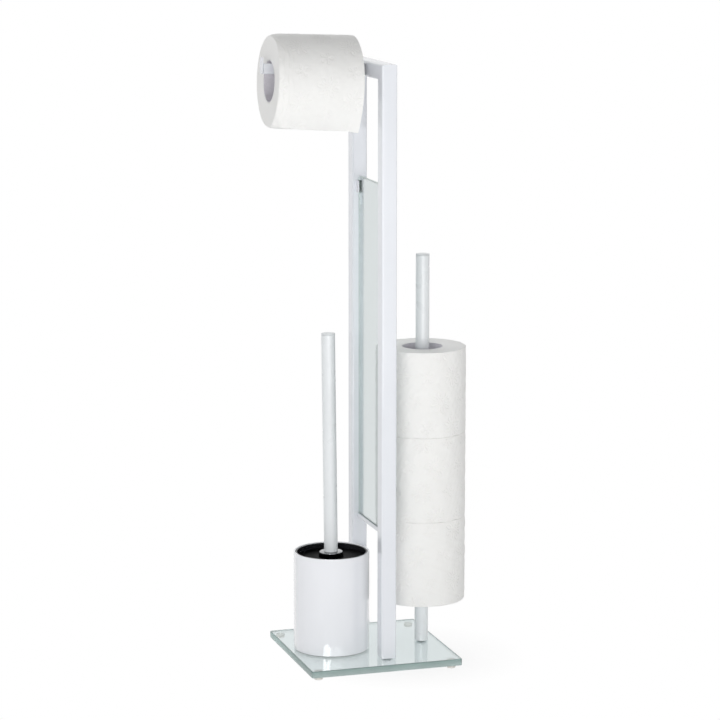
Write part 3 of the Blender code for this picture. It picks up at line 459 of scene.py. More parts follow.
def turned(name, outline, place, sides=SMOOTH_SIDES, ring=False):
    """An outline (r, z) turned round its axis. A ring's outline is closed on itself."""
    bm = bmesh.new()
    loops = []
    for r, z in outline:
        if r < MERGE:
            loops.append([bm.verts.new(place @ Vector((0.0, 0.0, z)))])
            continue
        angles = (2 * math.pi * side / sides for side in range(sides))
        spots = [Vector((r * math.cos(a), r * math.sin(a), z)) for a in angles]
        loops.append([bm.verts.new(place @ spot) for spot in spots])
    pairs = list(zip(loops, loops[1:]))
    if ring:
        pairs.append((loops[-1], loops[0]))
    for low, high in pairs:
        for side in range(sides):
            after = (side + 1) % sides
            corners = [low[side % len(low)], low[after % len(low)]]
            corners += [high[after % len(high)], high[side % len(high)]]
            corners = list(dict.fromkeys(corners))
            if len(corners) > 2:
                bm.faces.new(corners)
    return closed(bm, name)


def rounded_square(width, height, radius, steps=6):
    """Outline round the origin, anticlockwise."""
    outline = []
    for turn, (sx, sy) in enumerate(((1, -1), (1, 1), (-1, 1), (-1, -1))):
        middle = Vector((sx * (width / 2 - radius), sy * (height / 2 - radius)))
        for step in range(steps + 1):
            angle = math.pi / 2 * (turn - 1 + step / steps)
            outline.append(middle + radius * Vector((math.cos(angle), math.sin(angle))))
    return outline


def walled(bm, low, high):
    """Joins two loops of as many vertices by a wall of faces."""
    for side in range(len(low)):
        after = (side + 1) % len(low)
        bm.faces.new([low[side], low[after], high[after], high[side]])


def tube(name, outer, inner, place, start, end):
    """A hollow bar along its own Z. start and end give its ends' heights over each point."""
    bm = bmesh.new()
    rings = []
    for outline in (outer, inner):
        for height in (start, end):
            spots = [Vector((p.x, p.y, height(p))) for p in outline]
            rings.append([bm.verts.new(place @ spot) for spot in spots])
    skin_low, skin_high, bore_low, bore_high = rings
    walled(bm, skin_low, skin_high)
    walled(bm, skin_high, bore_high)
    walled(bm, bore_high, bore_low)
    walled(bm, bore_low, skin_low)
    return closed(bm, name, BAR_SHARP, place)


def channel(name, inner, wall, depth, length, place):
    """A folded U strip with eased edges; its web lies on X Y at 0, its mouth towards -Y."""
    out = inner / 2 + wall
    outline = [(-out, 0.0), (-out, -depth), (-inner / 2, -depth), (-inner / 2, -wall)]
    outline += [(inner / 2, -wall), (inner / 2, -depth), (out, -depth), (out, 0.0)]
    bm = bmesh.new()
    ends = []
    for z in (-length / 2, length / 2):
        ends.append([bm.verts.new(place @ Vector((x, y, z))) for x, y in outline])
    walled(bm, *ends)
    for loop in ends:
        bm.faces.new(loop)
    bmesh.ops.recalc_face_normals(bm, faces=bm.faces)
    ease = wall * 0.25
    bmesh.ops.bevel(bm, geom=list(bm.edges), offset=ease, segments=2, affect="EDGES")
    return closed(bm, name, FOLD_SHARP, place)


# Helpers for Geometry Nodes trees


def new_tree(name, sizes):
    """A tree with a mesh going in and out, and one named input for each size."""
    tree = bpy.data.node_groups.new(name, "GeometryNodeTree")
    tree.interface.new_socket("Mesh", in_out="INPUT", socket_type="NodeSocketGeometry")
    for label, (kind, value) in sizes.items():
        socket = tree.interface.new_socket(label, in_out="INPUT", socket_type=f"NodeSocket{kind}")
        if value is not None:
            socket.default_value = value
    tree.interface.new_socket("Mesh", in_out="OUTPUT", socket_type="NodeSocketGeometry")
    return tree, tree.nodes.new("NodeGroupInput"), tree.nodes.new("NodeGroupOutput")


def feed(tree, socket, source):
    """Links a socket to another node's output, or sets it to a plain value."""
    if isinstance(source, bpy.types.NodeSocket):
        tree.links.new(source, socket)
    else:
        socket.default_value = source


def put(tree, kind, values=None, **links):
    """Adds a node; values set its own settings, links feed its sockets."""
    made = tree.nodes.new(kind)
    for label, value in (values or {}).items():
        setattr(made, label, value)
    for label, source in links.items():
        feed(tree, made.inputs[label.replace("_", " ")], source)
    return made


def worked_out(tree, operation, first, second):
    """The result of a math node; first and second are numbers or outputs."""
    made = put(tree, "ShaderNodeMath", {"operation": operation})
    feed(tree, made.inputs[0], first)
    feed(tree, made.inputs[1], second)
    return made.outputs[0]


def chance(tree, low, high, seed):
    """A random number between low and high for each point."""
    made = put(tree, "FunctionNodeRandomValue", {"data_type": "FLOAT"}, Seed=seed)
    feed(tree, made.inputs[2], low)
    feed(tree, made.inputs[3], high)
    return made.outputs[1]


def show_copies(tree, copies, finish, result):
    """Makes a tree's copies into mesh, with their finish, as what comes out of it."""
    solid = put(tree, "GeometryNodeRealizeInstances", Geometry=copies.outputs["Instances"])
    coated = put(tree, "GeometryNodeSetMaterial", Geometry=solid.outputs["Geometry"])
    coated.inputs["Material"].default_value = FINISHES[finish]
    tree.links.new(coated.outputs["Geometry"], result.inputs[0])


def grown(name, tree, plan, sizes):
    """Runs a tree on a plan mesh and returns the plain mesh that it makes."""
    base = bpy.data.objects.new(name, plan)
    bpy.context.scene.collection.objects.link(base)
    modifier = base.modifiers.new(name, "NODES")
    modifier.node_group = tree
    for item in tree.interface.items_tree:
        if item.item_type == "SOCKET" and item.in_out == "INPUT" and item.name in sizes:
            modifier[item.identifier] = sizes[item.name]
    bpy.context.view_layer.update()
    evaluated = base.evaluated_get(bpy.context.evaluated_depsgraph_get())
    mesh = bpy.data.meshes.new_from_object(evaluated)
    base.modifiers.remove(modifier)
    bpy.data.objects.remove(base)
    return mesh


# The glass plate and what stands on it


PLATE_ARRIS = 0.0009
PLATE_CORNER = 0.003
PLATE_BORE = 0.003
RIM_BAND = 0.002  # the plate's outer edge lies this near to its sides
FLAT_FACE = 0.97  # a face whose normal reaches this share of an axis lies across it


def dress_plate():
    """The glass plate: a flat outline with its drilled holes, given its depth and arris."""
    low, high = PLATE_LOW, PLATE_HIGH
    outline = bpy.data.curves.new("plate_outline", "CURVE")
    outline.dimensions, outline.fill_mode = "2D", "BOTH"
    outline.extrude = (high.z - low.z) / 2 - PLATE_ARRIS
    outline.bevel_depth, outline.bevel_resolution = PLATE_ARRIS, 3
    outline.offset = -PLATE_ARRIS
    shapes = [rounded_square(high.x - low.x, high.y - low.y, PLATE_CORNER, 10)]
    posts = [(FRAME_X, (a.y + b.y) / 2) for a, b in ((POST_LOW, POST_HIGH), (REAR_LOW, REAR_HIGH))]
    turns = [2 * math.pi * side / SCREW_SIDES for side in range(SCREW_SIDES)]
    for x, y in (*posts, (ROD_X, 0.0), (HOLDER_X, 0.0)):
        round_bore = [(x + PLATE_BORE * math.cos(a), y + PLATE_BORE * math.sin(a)) for a in turns]
        shapes.append([Vector(spot) for spot in round_bore])
    for shape in shapes:
        line = outline.splines.new("POLY")
        line.use_cyclic_u = True
        line.points.add(len(shape) - 1)
        for point, spot in zip(line.points, shape):
            point.co = (spot.x, spot.y, 0.0, 1.0)
    flat = bpy.data.objects.new("plate_outline", outline)
    bpy.context.scene.collection.objects.link(flat)
    bpy.context.view_layer.update()
    depsgraph = bpy.context.evaluated_depsgraph_get()
    bm = bmesh.new()
    bm.from_mesh(bpy.data.meshes.new_from_object(flat.evaluated_get(depsgraph)))
    bpy.data.objects.remove(flat)
    bmesh.ops.translate(bm, verts=bm.verts, vec=(0.0, 0.0, (low.z + high.z) / 2))
    mesh = closed(bm, "plate_glass", CUT_SHARP, Matrix.Identity(4))
    plate = piece("plate_glass", mesh, "base_glass", "stand", "base_plate")
    grind(plate, "plate_edge", is_plate_rim)


def grind(pane, finish, is_edge):
    """Gives the faces of a glass piece that is_edge picks their ground finish."""
    pane.data.materials.append(FINISHES[finish])
    for face in pane.data.polygons:
        face.material_index = 1 if is_edge(face) else 0


def is_plate_rim(face):
    """Whether a face is in the plate's outer edge, and not its top, underside or a bore."""
    out = max(abs(face.center.x), abs(face.center.y))
    return abs(face.normal.z) < FLAT_FACE and out > PLATE_HIGH.x - RIM_BAND


def dress_feet():
    """Four clear pads, the same pad set at each corner by Geometry Nodes."""
    low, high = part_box("foot_front_left")
    radius, height = (high.x - low.x) / 2, high.z - low.z
    pad = [(0.0, height, 0.0), (radius * 0.98, height, 0.0), (radius, height * 0.93, 0.0)]
    pad += [(radius, 0.0, height * 0.25), (0.0, 0.0, 0.0)]
    pad_mesh = turned("foot_pad", eased(pad), Matrix.Identity(4), PAD_SIDES)
    pad_object = bpy.data.objects.new("foot_pad_shape", pad_mesh)
    nodes = ("foot_front_left", "foot_front_right", "foot_rear_left", "foot_rear_right")
    spots = [foot_point(node) for node in nodes]
    mesh = set_at_spots("foot_pads", spots, pad_object, "clear_rubber", 1.0)
    piece("foot_pads", mesh, "clear_rubber", "stand", *nodes)


def set_at_spots(name, spots, shape, finish, spread):
    """Sets one shape at each spot, turned a little differently, and returns one plain mesh."""
    sizes = {"Shape": ("Object", None), "Turn": ("Float", 0.0), "Seed": ("Int", 0)}
    tree, given, result = new_tree(f"{name}_tree", sizes)
    source = put(tree, "GeometryNodeObjectInfo", Object=given.outputs["Shape"])
    dots = put(tree, "GeometryNodeMeshToPoints", Mesh=given.outputs["Mesh"])
    most = given.outputs["Turn"]
    least = worked_out(tree, "MULTIPLY", most, -1.0)
    turn = put(tree, "ShaderNodeCombineXYZ", Z=chance(tree, least, most, given.outputs["Seed"]))
    copies = put(
        tree, "GeometryNodeInstanceOnPoints", Points=dots.outputs["Points"],
        Instance=source.outputs["Geometry"], Rotation=turn.outputs["Vector"],
    )
    show_copies(tree, copies, finish, result)
    bpy.context.scene.collection.objects.link(shape)
    plan = bpy.data.meshes.new(name)
    plan.from_pydata([tuple(s) for s in spots], [], [])
    mesh = grown(name, tree, plan, {"Shape": shape, "Turn": spread, "Seed": 4})
    bpy.data.objects.remove(shape)
    return mesh


def dress_uprights_and_bar():
    """Two uprights and the top bar, square tubes that meet in mitres."""
    walls, seam = 0.003, 0.00003
    outer = rounded_square(TUBE_SIDE, TUBE_SIDE, 0.0021)
    inner = rounded_square(TUBE_SIDE - walls, TUBE_SIDE - walls, 0.0007)
    frame_top = POST_HIGH.z + 0.0002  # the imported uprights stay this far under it
    posts = (("front_upright", POST_LOW, POST_HIGH, -1), ("rear_upright", REAR_LOW, REAR_HIGH, 1))
    for node, low, high, side in posts:
        bottom, edge = low.z, frame_top - TUBE_SIDE / 2 - seam

        def foot(_, bottom=bottom):
            return bottom

        def mitre(p, edge=edge, side=side):
            return edge + p.y * side

        place = standing(FRAME_X, (low.y + high.y) / 2)
        mesh = tube(f"{node}_coat", outer, inner, place, foot, mitre)
        piece(f"{node}_coat", mesh, "white_paint", "stand", node)
    half = (REAR_HIGH.y - POST_LOW.y) / 2 - TUBE_SIDE / 2
    lying = Matrix.Translation((FRAME_X, 0.0, frame_top - TUBE_SIDE / 2))
    lying = lying @ Matrix.Rotation(-math.pi / 2, 4, "X")

    def near(p):
        return -(half - p.y) + seam

    def far(p):
        return half - p.y - seam

    mesh = tube("top_bar_coat", outer, inner, lying, near, far)
    piece("top_bar_coat", mesh, "white_paint", "stand", "top_bar")


def dress_arm():
    """The roll arm, with room for its dark seat at the bar, and its upturned end."""
    walls, corner, tab_rise, thick = 0.0024, 0.0016, 0.007, 0.0015
    room = 0.0018  # between the arm's ends and what it meets, the bar and the tab's outside
    outer = rounded_square(ARM_HEIGHT, ARM_DEPTH, corner)
    inner = rounded_square(ARM_HEIGHT - walls, ARM_DEPTH - walls, 0.0005)
    tab_tip = ARM_HEIGHT / 2 + tab_rise
    level = POST_LOW.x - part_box("arm_end_tab")[0].x - tab_tip * math.sin(ARM_TILT)
    reach = level / math.cos(ARM_TILT) + 0.0002

    def root(p):
        return (room + p.x * math.sin(ARM_TILT)) / math.cos(ARM_TILT)

    def tip(_):
        return reach - room

    mesh = tube("roll_arm_coat", outer, inner, ON_ARM, root, tip)
    piece("roll_arm_coat", mesh, "white_paint", "stand", "roll_arm")
    tab = ON_ARM @ Matrix.Translation((tab_rise / 2, 0.0, reach - thick))
    bm = bmesh.new()
    outline = rounded_square(ARM_HEIGHT + tab_rise, ARM_DEPTH, corner, 8)
    loops = [[bm.verts.new(tab @ Vector((p.x, p.y, z))) for p in outline] for z in (0.0, thick)]
    for loop in loops:
        bm.faces.new(loop)
    walled(bm, *loops)
    bmesh.ops.recalc_face_normals(bm, faces=bm.faces)
    rims = [e for e in bm.edges if e.calc_face_angle(0.0) > BAR_SHARP]
    bmesh.ops.bevel(bm, geom=rims, offset=0.0003, segments=3, affect="EDGES")
    mesh = closed(bm, "arm_end_tab_coat", BAR_SHARP, tab)
    piece("arm_end_tab_coat", mesh, "white_paint", "stand", "arm_end_tab")


LINING_SHORT = 0.0017  # how much shorter than their solids the soft linings are


CLIP_WALL, LINING_WALL, RAIL_WALL = 0.001, 0.0006, 0.001


def dress_panel():
    """The glass panel with ground edges, its rail, its clips and their rubber linings."""
    low, high = PANE_LOW, PANE_HIGH
    bm = bmesh.new()
    bmesh.ops.create_cube(bm, size=1.0)
    bmesh.ops.scale(bm, verts=bm.verts, vec=high - low)
    bmesh.ops.translate(bm, verts=bm.verts, vec=(low + high) / 2)
    bmesh.ops.bevel(bm, geom=list(bm.edges), offset=0.0005, segments=3, affect="EDGES")
    mesh = closed(bm, "panel_pane", CUT_SHARP, Matrix.Identity(4))
    pane = piece("panel_pane", mesh, "panel_glass", "stand", "glass_panel")
    grind(pane, "panel_edge", lambda face: abs(face.normal.x) < FLAT_FACE)
    low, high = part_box("panel_rail")
    place = Matrix.Translation((FRAME_X, 0.0, low.z)) @ Matrix.Rotation(-math.pi / 2, 4, "X")
    inner = high.x - low.x - 2 * RAIL_WALL
    sizes = (inner, RAIL_WALL, high.z - low.z, high.y - low.y)
    mesh = channel("panel_rail_coat", *sizes, place)
    piece("panel_rail_coat", mesh, "white_paint", "stand", "panel_rail")
    for side, turn in (("front", math.pi), ("rear", 0.0)):
        dress_holding(f"panel_clip_{side}", turn, "white_paint", CLIP_WALL, 0.0)
        dress_holding(f"panel_gasket_{side}", turn, "dark_rubber", LINING_WALL, LINING_SHORT)


def dress_holding(node, turn, finish, wall, short):
    """A clip or its lining, which grips the panel's upper corner."""
    low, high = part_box(node)
    web = max(abs(low.y), abs(high.y))
    place = Matrix.Rotation(turn, 4, "Z")
    place = Matrix.Translation((FRAME_X, 0.0, (low.z + high.z) / 2)) @ place
    place = place @ Matrix.Translation((0, web, 0))
    sizes = (high.x - low.x - 2 * wall, wall, high.y - low.y - short, high.z - low.z)
    mesh = channel(f"{node}_skin", *sizes, place)
    piece(f"{node}_skin", mesh, finish, "stand", node)


def dress_rod():
    """The rod for the spare rolls, its cap and the disc that carries them."""
    place = standing(ROD_X)
    bore, low, seam = ROD_RADIUS - 0.0012, ROD_LOW.z, ROD_HIGH.z
    outline = [(bore, low, 0.0), (ROD_RADIUS, low, 0.0003)]
    outline += [(ROD_RADIUS, seam, 0.0002), (bore, seam, 0.0)]
    mesh = turned("spare_rod_coat", eased(outline, 3), place, SMALL_SIDES, ring=True)
    piece("spare_rod_coat", mesh, "satin_white_paint", "stand", "spare_rod")
    dress_cap("rod_cap", place, ROD_TOP, "stand")
    top, thick, disc, hub = STOP_HIGH.z, 0.002, STOP_HIGH.x - ROD_X, 0.011
    inner = ROD_RADIUS + GAP
    outline = [(inner, top, 0.0), (disc, top, 0.0006)]
    outline += [(disc, top - thick, 0.0006), (hub, top - thick, 0.0008)]
    outline += [(hub, STOP_LOW.z, 0.0006), (inner, STOP_LOW.z, 0.0)]
    mesh = turned("stop_disc_coat", eased(outline, 4), place, SMOOTH_SIDES, ring=True)
    piece("stop_disc_coat", mesh, "satin_white_paint", "stand", "stop_disc")


def dress_cap(node, place, top, body):
    """A flat cap with a small easing, and its plug down the tube."""
    radius, thick, depth = ROD_RADIUS, 0.0012, 0.008
    plug = radius - (0.0015 if body == "stand" else 0.0013)  # just inside each tube's wall
    outline = [(0.0, top, 0.0), (radius, top, 0.0005)]
    outline += [(radius, top - thick, 0.0), (plug, top - thick, 0.0)]
    outline += [(plug, top - thick - depth, 0.0004), (0.0, top - thick - depth, 0.0)]
    mesh = turned(f"{node}_coat", eased(outline, 4), place, SMALL_SIDES)
    piece(f"{node}_coat", mesh, "satin_white_paint", body, node)


def dress_holder():
    """The white sleeve with its hemmed rim, its pad, whose grey is partly painted shade at the
    sleeve's foot, and the black container in it.
    """
    place = standing(HOLDER_X)
    radius, wall, rim, hem = HOLDER_RADIUS, 0.0012, 0.0025, 0.003
    low, top = SLEEVE_LOW.z, SLEEVE_HIGH.z
    inside = radius - wall
    outline = [(inside, low, 0.0), (radius, low, 0.0006)]
    outline += [(radius, top, 0.0009), (radius - rim, top, 0.0009)]
    outline += [(radius - rim, top - hem, 0.0004), (inside, top - hem - rim + wall, 0.0)]
    mesh = turned("sleeve_coat", eased(outline, 5), place, SLEEVE_SIDES, ring=True)
    piece("sleeve_coat", mesh, "sleeve_paint", "stand", "brush_holder")
    # the pad's grey finish is partly painted shade: a dark line along the sleeve's foot
    low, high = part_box("holder_gasket")
    pad, hole, ease = (high.x - low.x) / 2, 0.0045, (high.z - low.z) * 0.3
    outline = [(hole, low.z, 0.0), (pad, low.z, ease), (pad, high.z, ease), (hole, high.z, 0.0)]
    mesh = turned("holder_pad", eased(outline, 3), place, WIDE_SIDES, ring=True)
    piece("holder_pad", mesh, "holder_pad", "stand", "holder_gasket")
    dress_container(place)


def dress_container(place):
    """The black container: a ledge for the lid, and a floor raised over the holder's bolt."""
    low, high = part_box("inner_container")
    outside = (high.x - low.x) / 2
    wall, base, top = 0.0015, low.z, high.z
    upper, ledge = outside - wall, 0.11964
    lower = upper - wall
    foot = lower - 0.0006
    raised_floor, raised_under = base + 0.0042, base + 0.0027
    outline = [(0.0, raised_floor, 0.0), (0.018, raised_floor, 0.0), (0.0195, base + wall, 0.0)]
    outline += [(foot, base + wall, 0.0025), (lower, ledge, 0.0003), (upper, ledge, 0.0)]
    outline += [(upper, top, 0.0006), (outside, top, 0.0006), (outside, ledge - wall, 0.0004)]
    outline += [(upper, ledge - wall, 0.0), (foot + wall, base, 0.004), (0.018, base, 0.0)]
    outline += [(0.0165, raised_under, 0.0), (0.0, raised_under, 0.0)]
    mesh = turned("container_skin", eased(outline, 5), place, WIDE_SIDES)
    piece("container_skin", mesh, "black_plastic", "container", "inner_container")


def dress_brush():
    """Lid with its collar, the bright flange, the handle, its cap, and the bristles."""
    lid, thick, skin = 0.0395, 0.0025, 0.0015
    bore, collar, rise = 0.0043, 0.0143, 0.0047
    outline = [(bore, rise, 0.0), (collar, rise, 0.0008), (collar, 0.0, 0.0010)]
    outline += [(lid, 0.0, 0.0006), (lid, -thick, 0.0), (lid - skin, -thick, 0.0)]
    outline += [(lid - skin, -skin, 0.0003), (bore, -skin, 0.0)]
    mesh = turned("lid_skin", eased(outline, 5), ON_BRUSH, WIDE_SIDES, ring=True)
    piece("lid_skin", mesh, "lid_plastic", "brush", "splash_lid")
    flange, low = 0.0135, rise + GAP
    high = low + 0.001
    outline = [(bore, low, 0.0), (flange, low, 0.0003), (flange, high, 0.0004), (bore, high, 0.0)]
    mesh = turned("flange_bright", eased(outline, 4), ON_BRUSH, BOARD_SIDES, ring=True)
    piece("flange_bright", mesh, "polished_steel", "brush", "handle_flange")
    low += 0.0013
    top = low + 0.2589
    seam = top - 0.0015
    inner, outer = 0.007, 0.008
    outline = [(inner, low, 0.0), (outer, low, 0.0003), (outer, seam, 0.0002), (inner, seam, 0.0)]
    mesh = turned("handle_coat", eased(outline, 3), ON_BRUSH, SMALL_SIDES, ring=True)
    piece("handle_coat", mesh, "satin_white_paint", "brush", "brush_handle")
    dress_cap("handle_cap", ON_BRUSH, top, "brush")
    dress_bristles()


# The brush head


BRISTLE_REACH = 0.031
CORE_RADIUS_OF_HEAD = 0.0085
HEAD_TOP, HEAD_BOTTOM = -0.022, -0.097


SHOULDER = HEAD_TOP - 0.008  # where the first tufts stand
DOME = HEAD_BOTTOM + 0.026  # below it the tufts fan out downwards
TUFT_ROWS, TUFTS_ROUND = 26, 30
FADE_LENGTH = 0.010  # this far below the shoulder the tufts reach their full length
DOME_RINGS, RING_STEP = 7, 11.5  # rings of tufts on the dome, and the degrees between them


def bristle_plan():
    """Where each tuft starts on the core, which way it points and how long it is."""
    spots, ways, reaches = [], [], []
    for row in range(TUFT_ROWS):
        z = SHOULDER + (DOME - SHOULDER) * row / (TUFT_ROWS - 1)
        fade = min(1.0, (SHOULDER - z) / FADE_LENGTH)
        reach = BRISTLE_REACH * (0.80 + 0.20 * math.sin(fade * math.pi / 2))
        for column in range(TUFTS_ROUND):
            turn = 2 * math.pi * (column + 0.5 * (row % 2)) / TUFTS_ROUND
            way = Vector((math.cos(turn), math.sin(turn), 0.06 * (0.5 - fade)))
            spots.append((CORE_RADIUS_OF_HEAD * way.x, CORE_RADIUS_OF_HEAD * way.y, z))
            ways.append(way.normalized())
            reaches.append(reach - CORE_RADIUS_OF_HEAD)
    for ring in range(1, DOME_RINGS + 1):
        slope = math.radians(RING_STEP * ring)
        flat, down = math.cos(slope), math.sin(slope)
        along = 1 / math.sqrt((flat / BRISTLE_REACH) ** 2 + (down / (DOME - HEAD_BOTTOM)) ** 2)
        count = max(5, round(TUFTS_ROUND * flat))
        for column in range(count):
            turn = 2 * math.pi * (column + 0.5 * (ring % 2)) / count
            way = Vector((flat * math.cos(turn), flat * math.sin(turn), -down))
            spots.append(tuple(Vector((0.0, 0.0, DOME)) + way * CORE_RADIUS_OF_HEAD))
            ways.append(way)
            reaches.append(along - CORE_RADIUS_OF_HEAD)
    plan = bpy.data.meshes.new("bristle_plan")
    plan.from_pydata([tuple(ON_BRUSH @ Vector(s)) for s in spots], [], [])
    turned_ways = [ON_BRUSH.to_3x3() @ w for w in ways]
    way_data = plan.attributes.new("way", "FLOAT_VECTOR", "POINT")
    way_data.data.foreach_set("vector", np.array(turned_ways, np.float32).ravel())
    reach_data = plan.attributes.new("reach", "FLOAT", "POINT")
    reach_data.data.foreach_set("value", np.array(reaches, np.float32))
    return plan


# The kind and value of each size that the bristle tree takes
TUFT_SIZES = {
    "Filaments": ("Int", 6),
    "Filament radius": ("Float", 0.00028),
    "Tuft radius": ("Float", 0.0006),
    "Spread": ("Float", 0.9),
    "Unevenness": ("Float", 0.06),
    "Seed": ("Int", 1),
}
TAPER = 0.6  # a filament's tip as a share of its root
SPLAY_CURVE = 1.6  # above 1 the filaments part mostly towards their tips
LENGTH_SEED = 7


def bristle_tree():
    """Each tuft is a ring of thin tapered filaments that spread a little towards their tips."""
    tree, given, result = new_tree("bristle_tree", TUFT_SIZES)
    sizes = given.outputs
    cone = {"fill_type": "TRIANGLE_FAN"}
    filament = put(tree, "GeometryNodeMeshCone", cone, Vertices=4, Depth=1.0, Side_Segments=3)
    root, tip = filament.inputs["Radius Bottom"], filament.inputs["Radius Top"]
    feed(tree, root, sizes["Filament radius"])
    feed(tree, tip, worked_out(tree, "MULTIPLY", sizes["Filament radius"], TAPER))
    round_tuft = {"Vertices": sizes["Filaments"], "Radius": sizes["Tuft radius"]}
    ring = put(tree, "GeometryNodeMeshCircle", **round_tuft)
    on_ring = {"Points": ring.outputs["Mesh"], "Instance": filament.outputs["Mesh"]}
    tuft = put(tree, "GeometryNodeInstanceOnPoints", **on_ring)
    loose = put(tree, "GeometryNodeRealizeInstances", Geometry=tuft.outputs["Instances"])
    where = put(tree, "GeometryNodeInputPosition")
    parts = put(tree, "ShaderNodeSeparateXYZ", Vector=where.outputs["Position"])
    bend = worked_out(tree, "POWER", parts.outputs["Z"], SPLAY_CURVE)
    amount = worked_out(tree, "MULTIPLY", bend, sizes["Spread"])
    flat = put(tree, "ShaderNodeCombineXYZ", X=parts.outputs["X"], Y=parts.outputs["Y"])
    by_amount = {"Vector": flat.outputs["Vector"], "Scale": amount}
    push = put(tree, "ShaderNodeVectorMath", {"operation": "SCALE"}, **by_amount)
    outwards = {"Geometry": loose.outputs["Geometry"], "Offset": push.outputs["Vector"]}
    splayed = put(tree, "GeometryNodeSetPosition", **outwards)
    dots = put(tree, "GeometryNodeMeshToPoints", Mesh=given.outputs["Mesh"])
    of_vectors, of_numbers = {"data_type": "FLOAT_VECTOR"}, {"data_type": "FLOAT"}
    way = put(tree, "GeometryNodeInputNamedAttribute", of_vectors, Name="way").outputs[0]
    aim = put(tree, "FunctionNodeAlignRotationToVector", {"axis": "Z"}, Vector=way)
    spin = chance(tree, 0.0, 2 * math.pi, sizes["Seed"])
    own_turn = put(tree, "ShaderNodeCombineXYZ", Z=spin).outputs["Vector"]
    local = {"rotation_space": "LOCAL"}
    both = put(tree, "FunctionNodeRotateRotation", local, Rotation=aim.outputs["Rotation"])
    feed(tree, both.inputs["Rotate By"], own_turn)
    reach = put(tree, "GeometryNodeInputNamedAttribute", of_numbers, Name="reach").outputs[0]
    shortest = worked_out(tree, "SUBTRACT", 1.0, sizes["Unevenness"])
    length = worked_out(tree, "MULTIPLY", reach, chance(tree, shortest, 1.0, LENGTH_SEED))
    scale = put(tree, "ShaderNodeCombineXYZ", X=1.0, Y=1.0, Z=length)
    brush = put(
        tree, "GeometryNodeInstanceOnPoints", Points=dots.outputs["Points"],
        Instance=splayed.outputs["Geometry"], Rotation=both.outputs["Rotation"],
        Scale=scale.outputs["Vector"],
    )
    show_copies(tree, brush, "bristle", result)
    return tree


def dress_bristles():
    """The moulded core with its neck, and the tufts that grow from it."""
    sizes = {name: value for name, (_, value) in TUFT_SIZES.items()}
    mesh = grown("bristle_tufts", bristle_tree(), bristle_plan(), sizes)
    piece("bristle_tufts", mesh, "bristle", "brush", "brush_head")
    bore, neck, socket = 0.0043, 0.009, HEAD_TOP - 0.014
    outline = [(0.0, socket, 0.0), (bore, socket, 0.0), (bore, HEAD_TOP, 0.0)]
    outline += [(neck, HEAD_TOP, 0.0006), (neck, DOME, 0.002), (0.006, DOME - 0.0075, 0.003)]
    outline.append((0.0, DOME - 0.0085, 0.0))
    mesh = turned("bristle_core", eased(outline, 5), ON_BRUSH, SMALL_SIDES)
    piece("bristle_core", mesh, "bristle", "brush")


# Paper rolls


WAVES = 9


def ripple(u, v, seed, scale):
    """A smooth uneven surface made of a few crossing waves, the same on every run."""
    rng = np.random.default_rng(seed)
    total = np.zeros_like(u)
    for _ in range(WAVES):
        way = rng.uniform(0, 2 * math.pi)
        pitch = scale * rng.uniform(0.5, 2.0)
        along = u * math.cos(way) + v * math.sin(way)
        total += np.sin(along / pitch * 2 * math.pi + rng.uniform(0, 6.28))
    return total / WAVES


PRESS_LINE = 0.0006  # half width of a pressed line
# Shares of a sprig's size: where its petals start, their length and half width, and its ring
PETAL_START, PETAL_LENGTH, PETAL_WIDTH, RING_SHARE = 0.34, 0.66, 0.15, 0.22


def sprig(u, v, size, petals, turn):
    """Pressed outline of a small sprig: pointed petals round a ring and a dot."""
    far, way = np.hypot(u, v), np.arctan2(v, u) + turn
    share = 2 * math.pi / petals
    off = (way + share / 2) % share - share / 2
    along = (far * np.cos(off) / size - PETAL_START) / PETAL_LENGTH
    half = PETAL_WIDTH * size * np.sin(math.pi * np.clip(along, 0, 1)) ** 0.8
    line = np.exp(-(((abs(far * np.sin(off)) - half) / PRESS_LINE) ** 2))
    line = line * ((along > 0) & (along < 1))
    ring = np.exp(-(((far - RING_SHARE * size) / PRESS_LINE) ** 2))
    dot = np.exp(-((far / (2 * PRESS_LINE)) ** 2))
    return np.maximum(line, np.maximum(ring, dot))


# The pressed net: its pitches, its shift from roll to roll, its sprigs as size and petals,
# how far round a sprig's middle it is worked out, and its rows and columns
NET_AROUND, NET_ALONG = 0.034, 0.030
NET_SHIFT = 0.006
BIG_SPRIG, SMALL_SPRIG = (0.0135, 8), (0.0085, 5)
SPRIG_REACH = 0.016
NET_ROWS, NET_COLUMNS = range(-2, 6), range(-2, 13)


def pressed_pattern(u, v, seed):
    """Depth of the embossing over the sheet: sprigs in a staggered net, two sizes by turns."""
    depth = np.zeros_like(u)
    for row in NET_ROWS:
        for column in NET_COLUMNS:
            off_u = u - (column + 0.5 * (row % 2)) * NET_AROUND
            off_v = v - (row * NET_ALONG + NET_SHIFT * (seed % 3))
            size, petals = BIG_SPRIG if (row + column) % 2 == 0 else SMALL_SPRIG
            near = (abs(off_u) < SPRIG_REACH) & (abs(off_v) < SPRIG_REACH)
            turn = 0.9 * column + row
            depth[near] += sprig(off_u[near], off_v[near], size, petals, turn)
    return depth


def puckers(u, v, seed):
    """Soft unevenness of the sheet between its sprigs, in wide waves and in narrow ones."""
    wide = 0.00045 * (1 + ripple(u, v, seed + 1, 0.013))
    return wide + 0.00016 * (1 + ripple(u, v, seed + 6, 0.005))


RUB_DEPTH, RUB_WIDTH = 0.0022, 0.005


def edge_fall(inward):
    """How far the hanging roll's left edge is rubbed down."""
    return RUB_DEPTH * np.exp(-np.clip(inward, 0, None) / RUB_WIDTH)


def smooth_step(value, start, end):
    """Rises from 0 to 1 between start and end, level at both."""
    share = np.clip((value - start) / (end - start), 0, 1)
    return share * share * (3 - 2 * share)


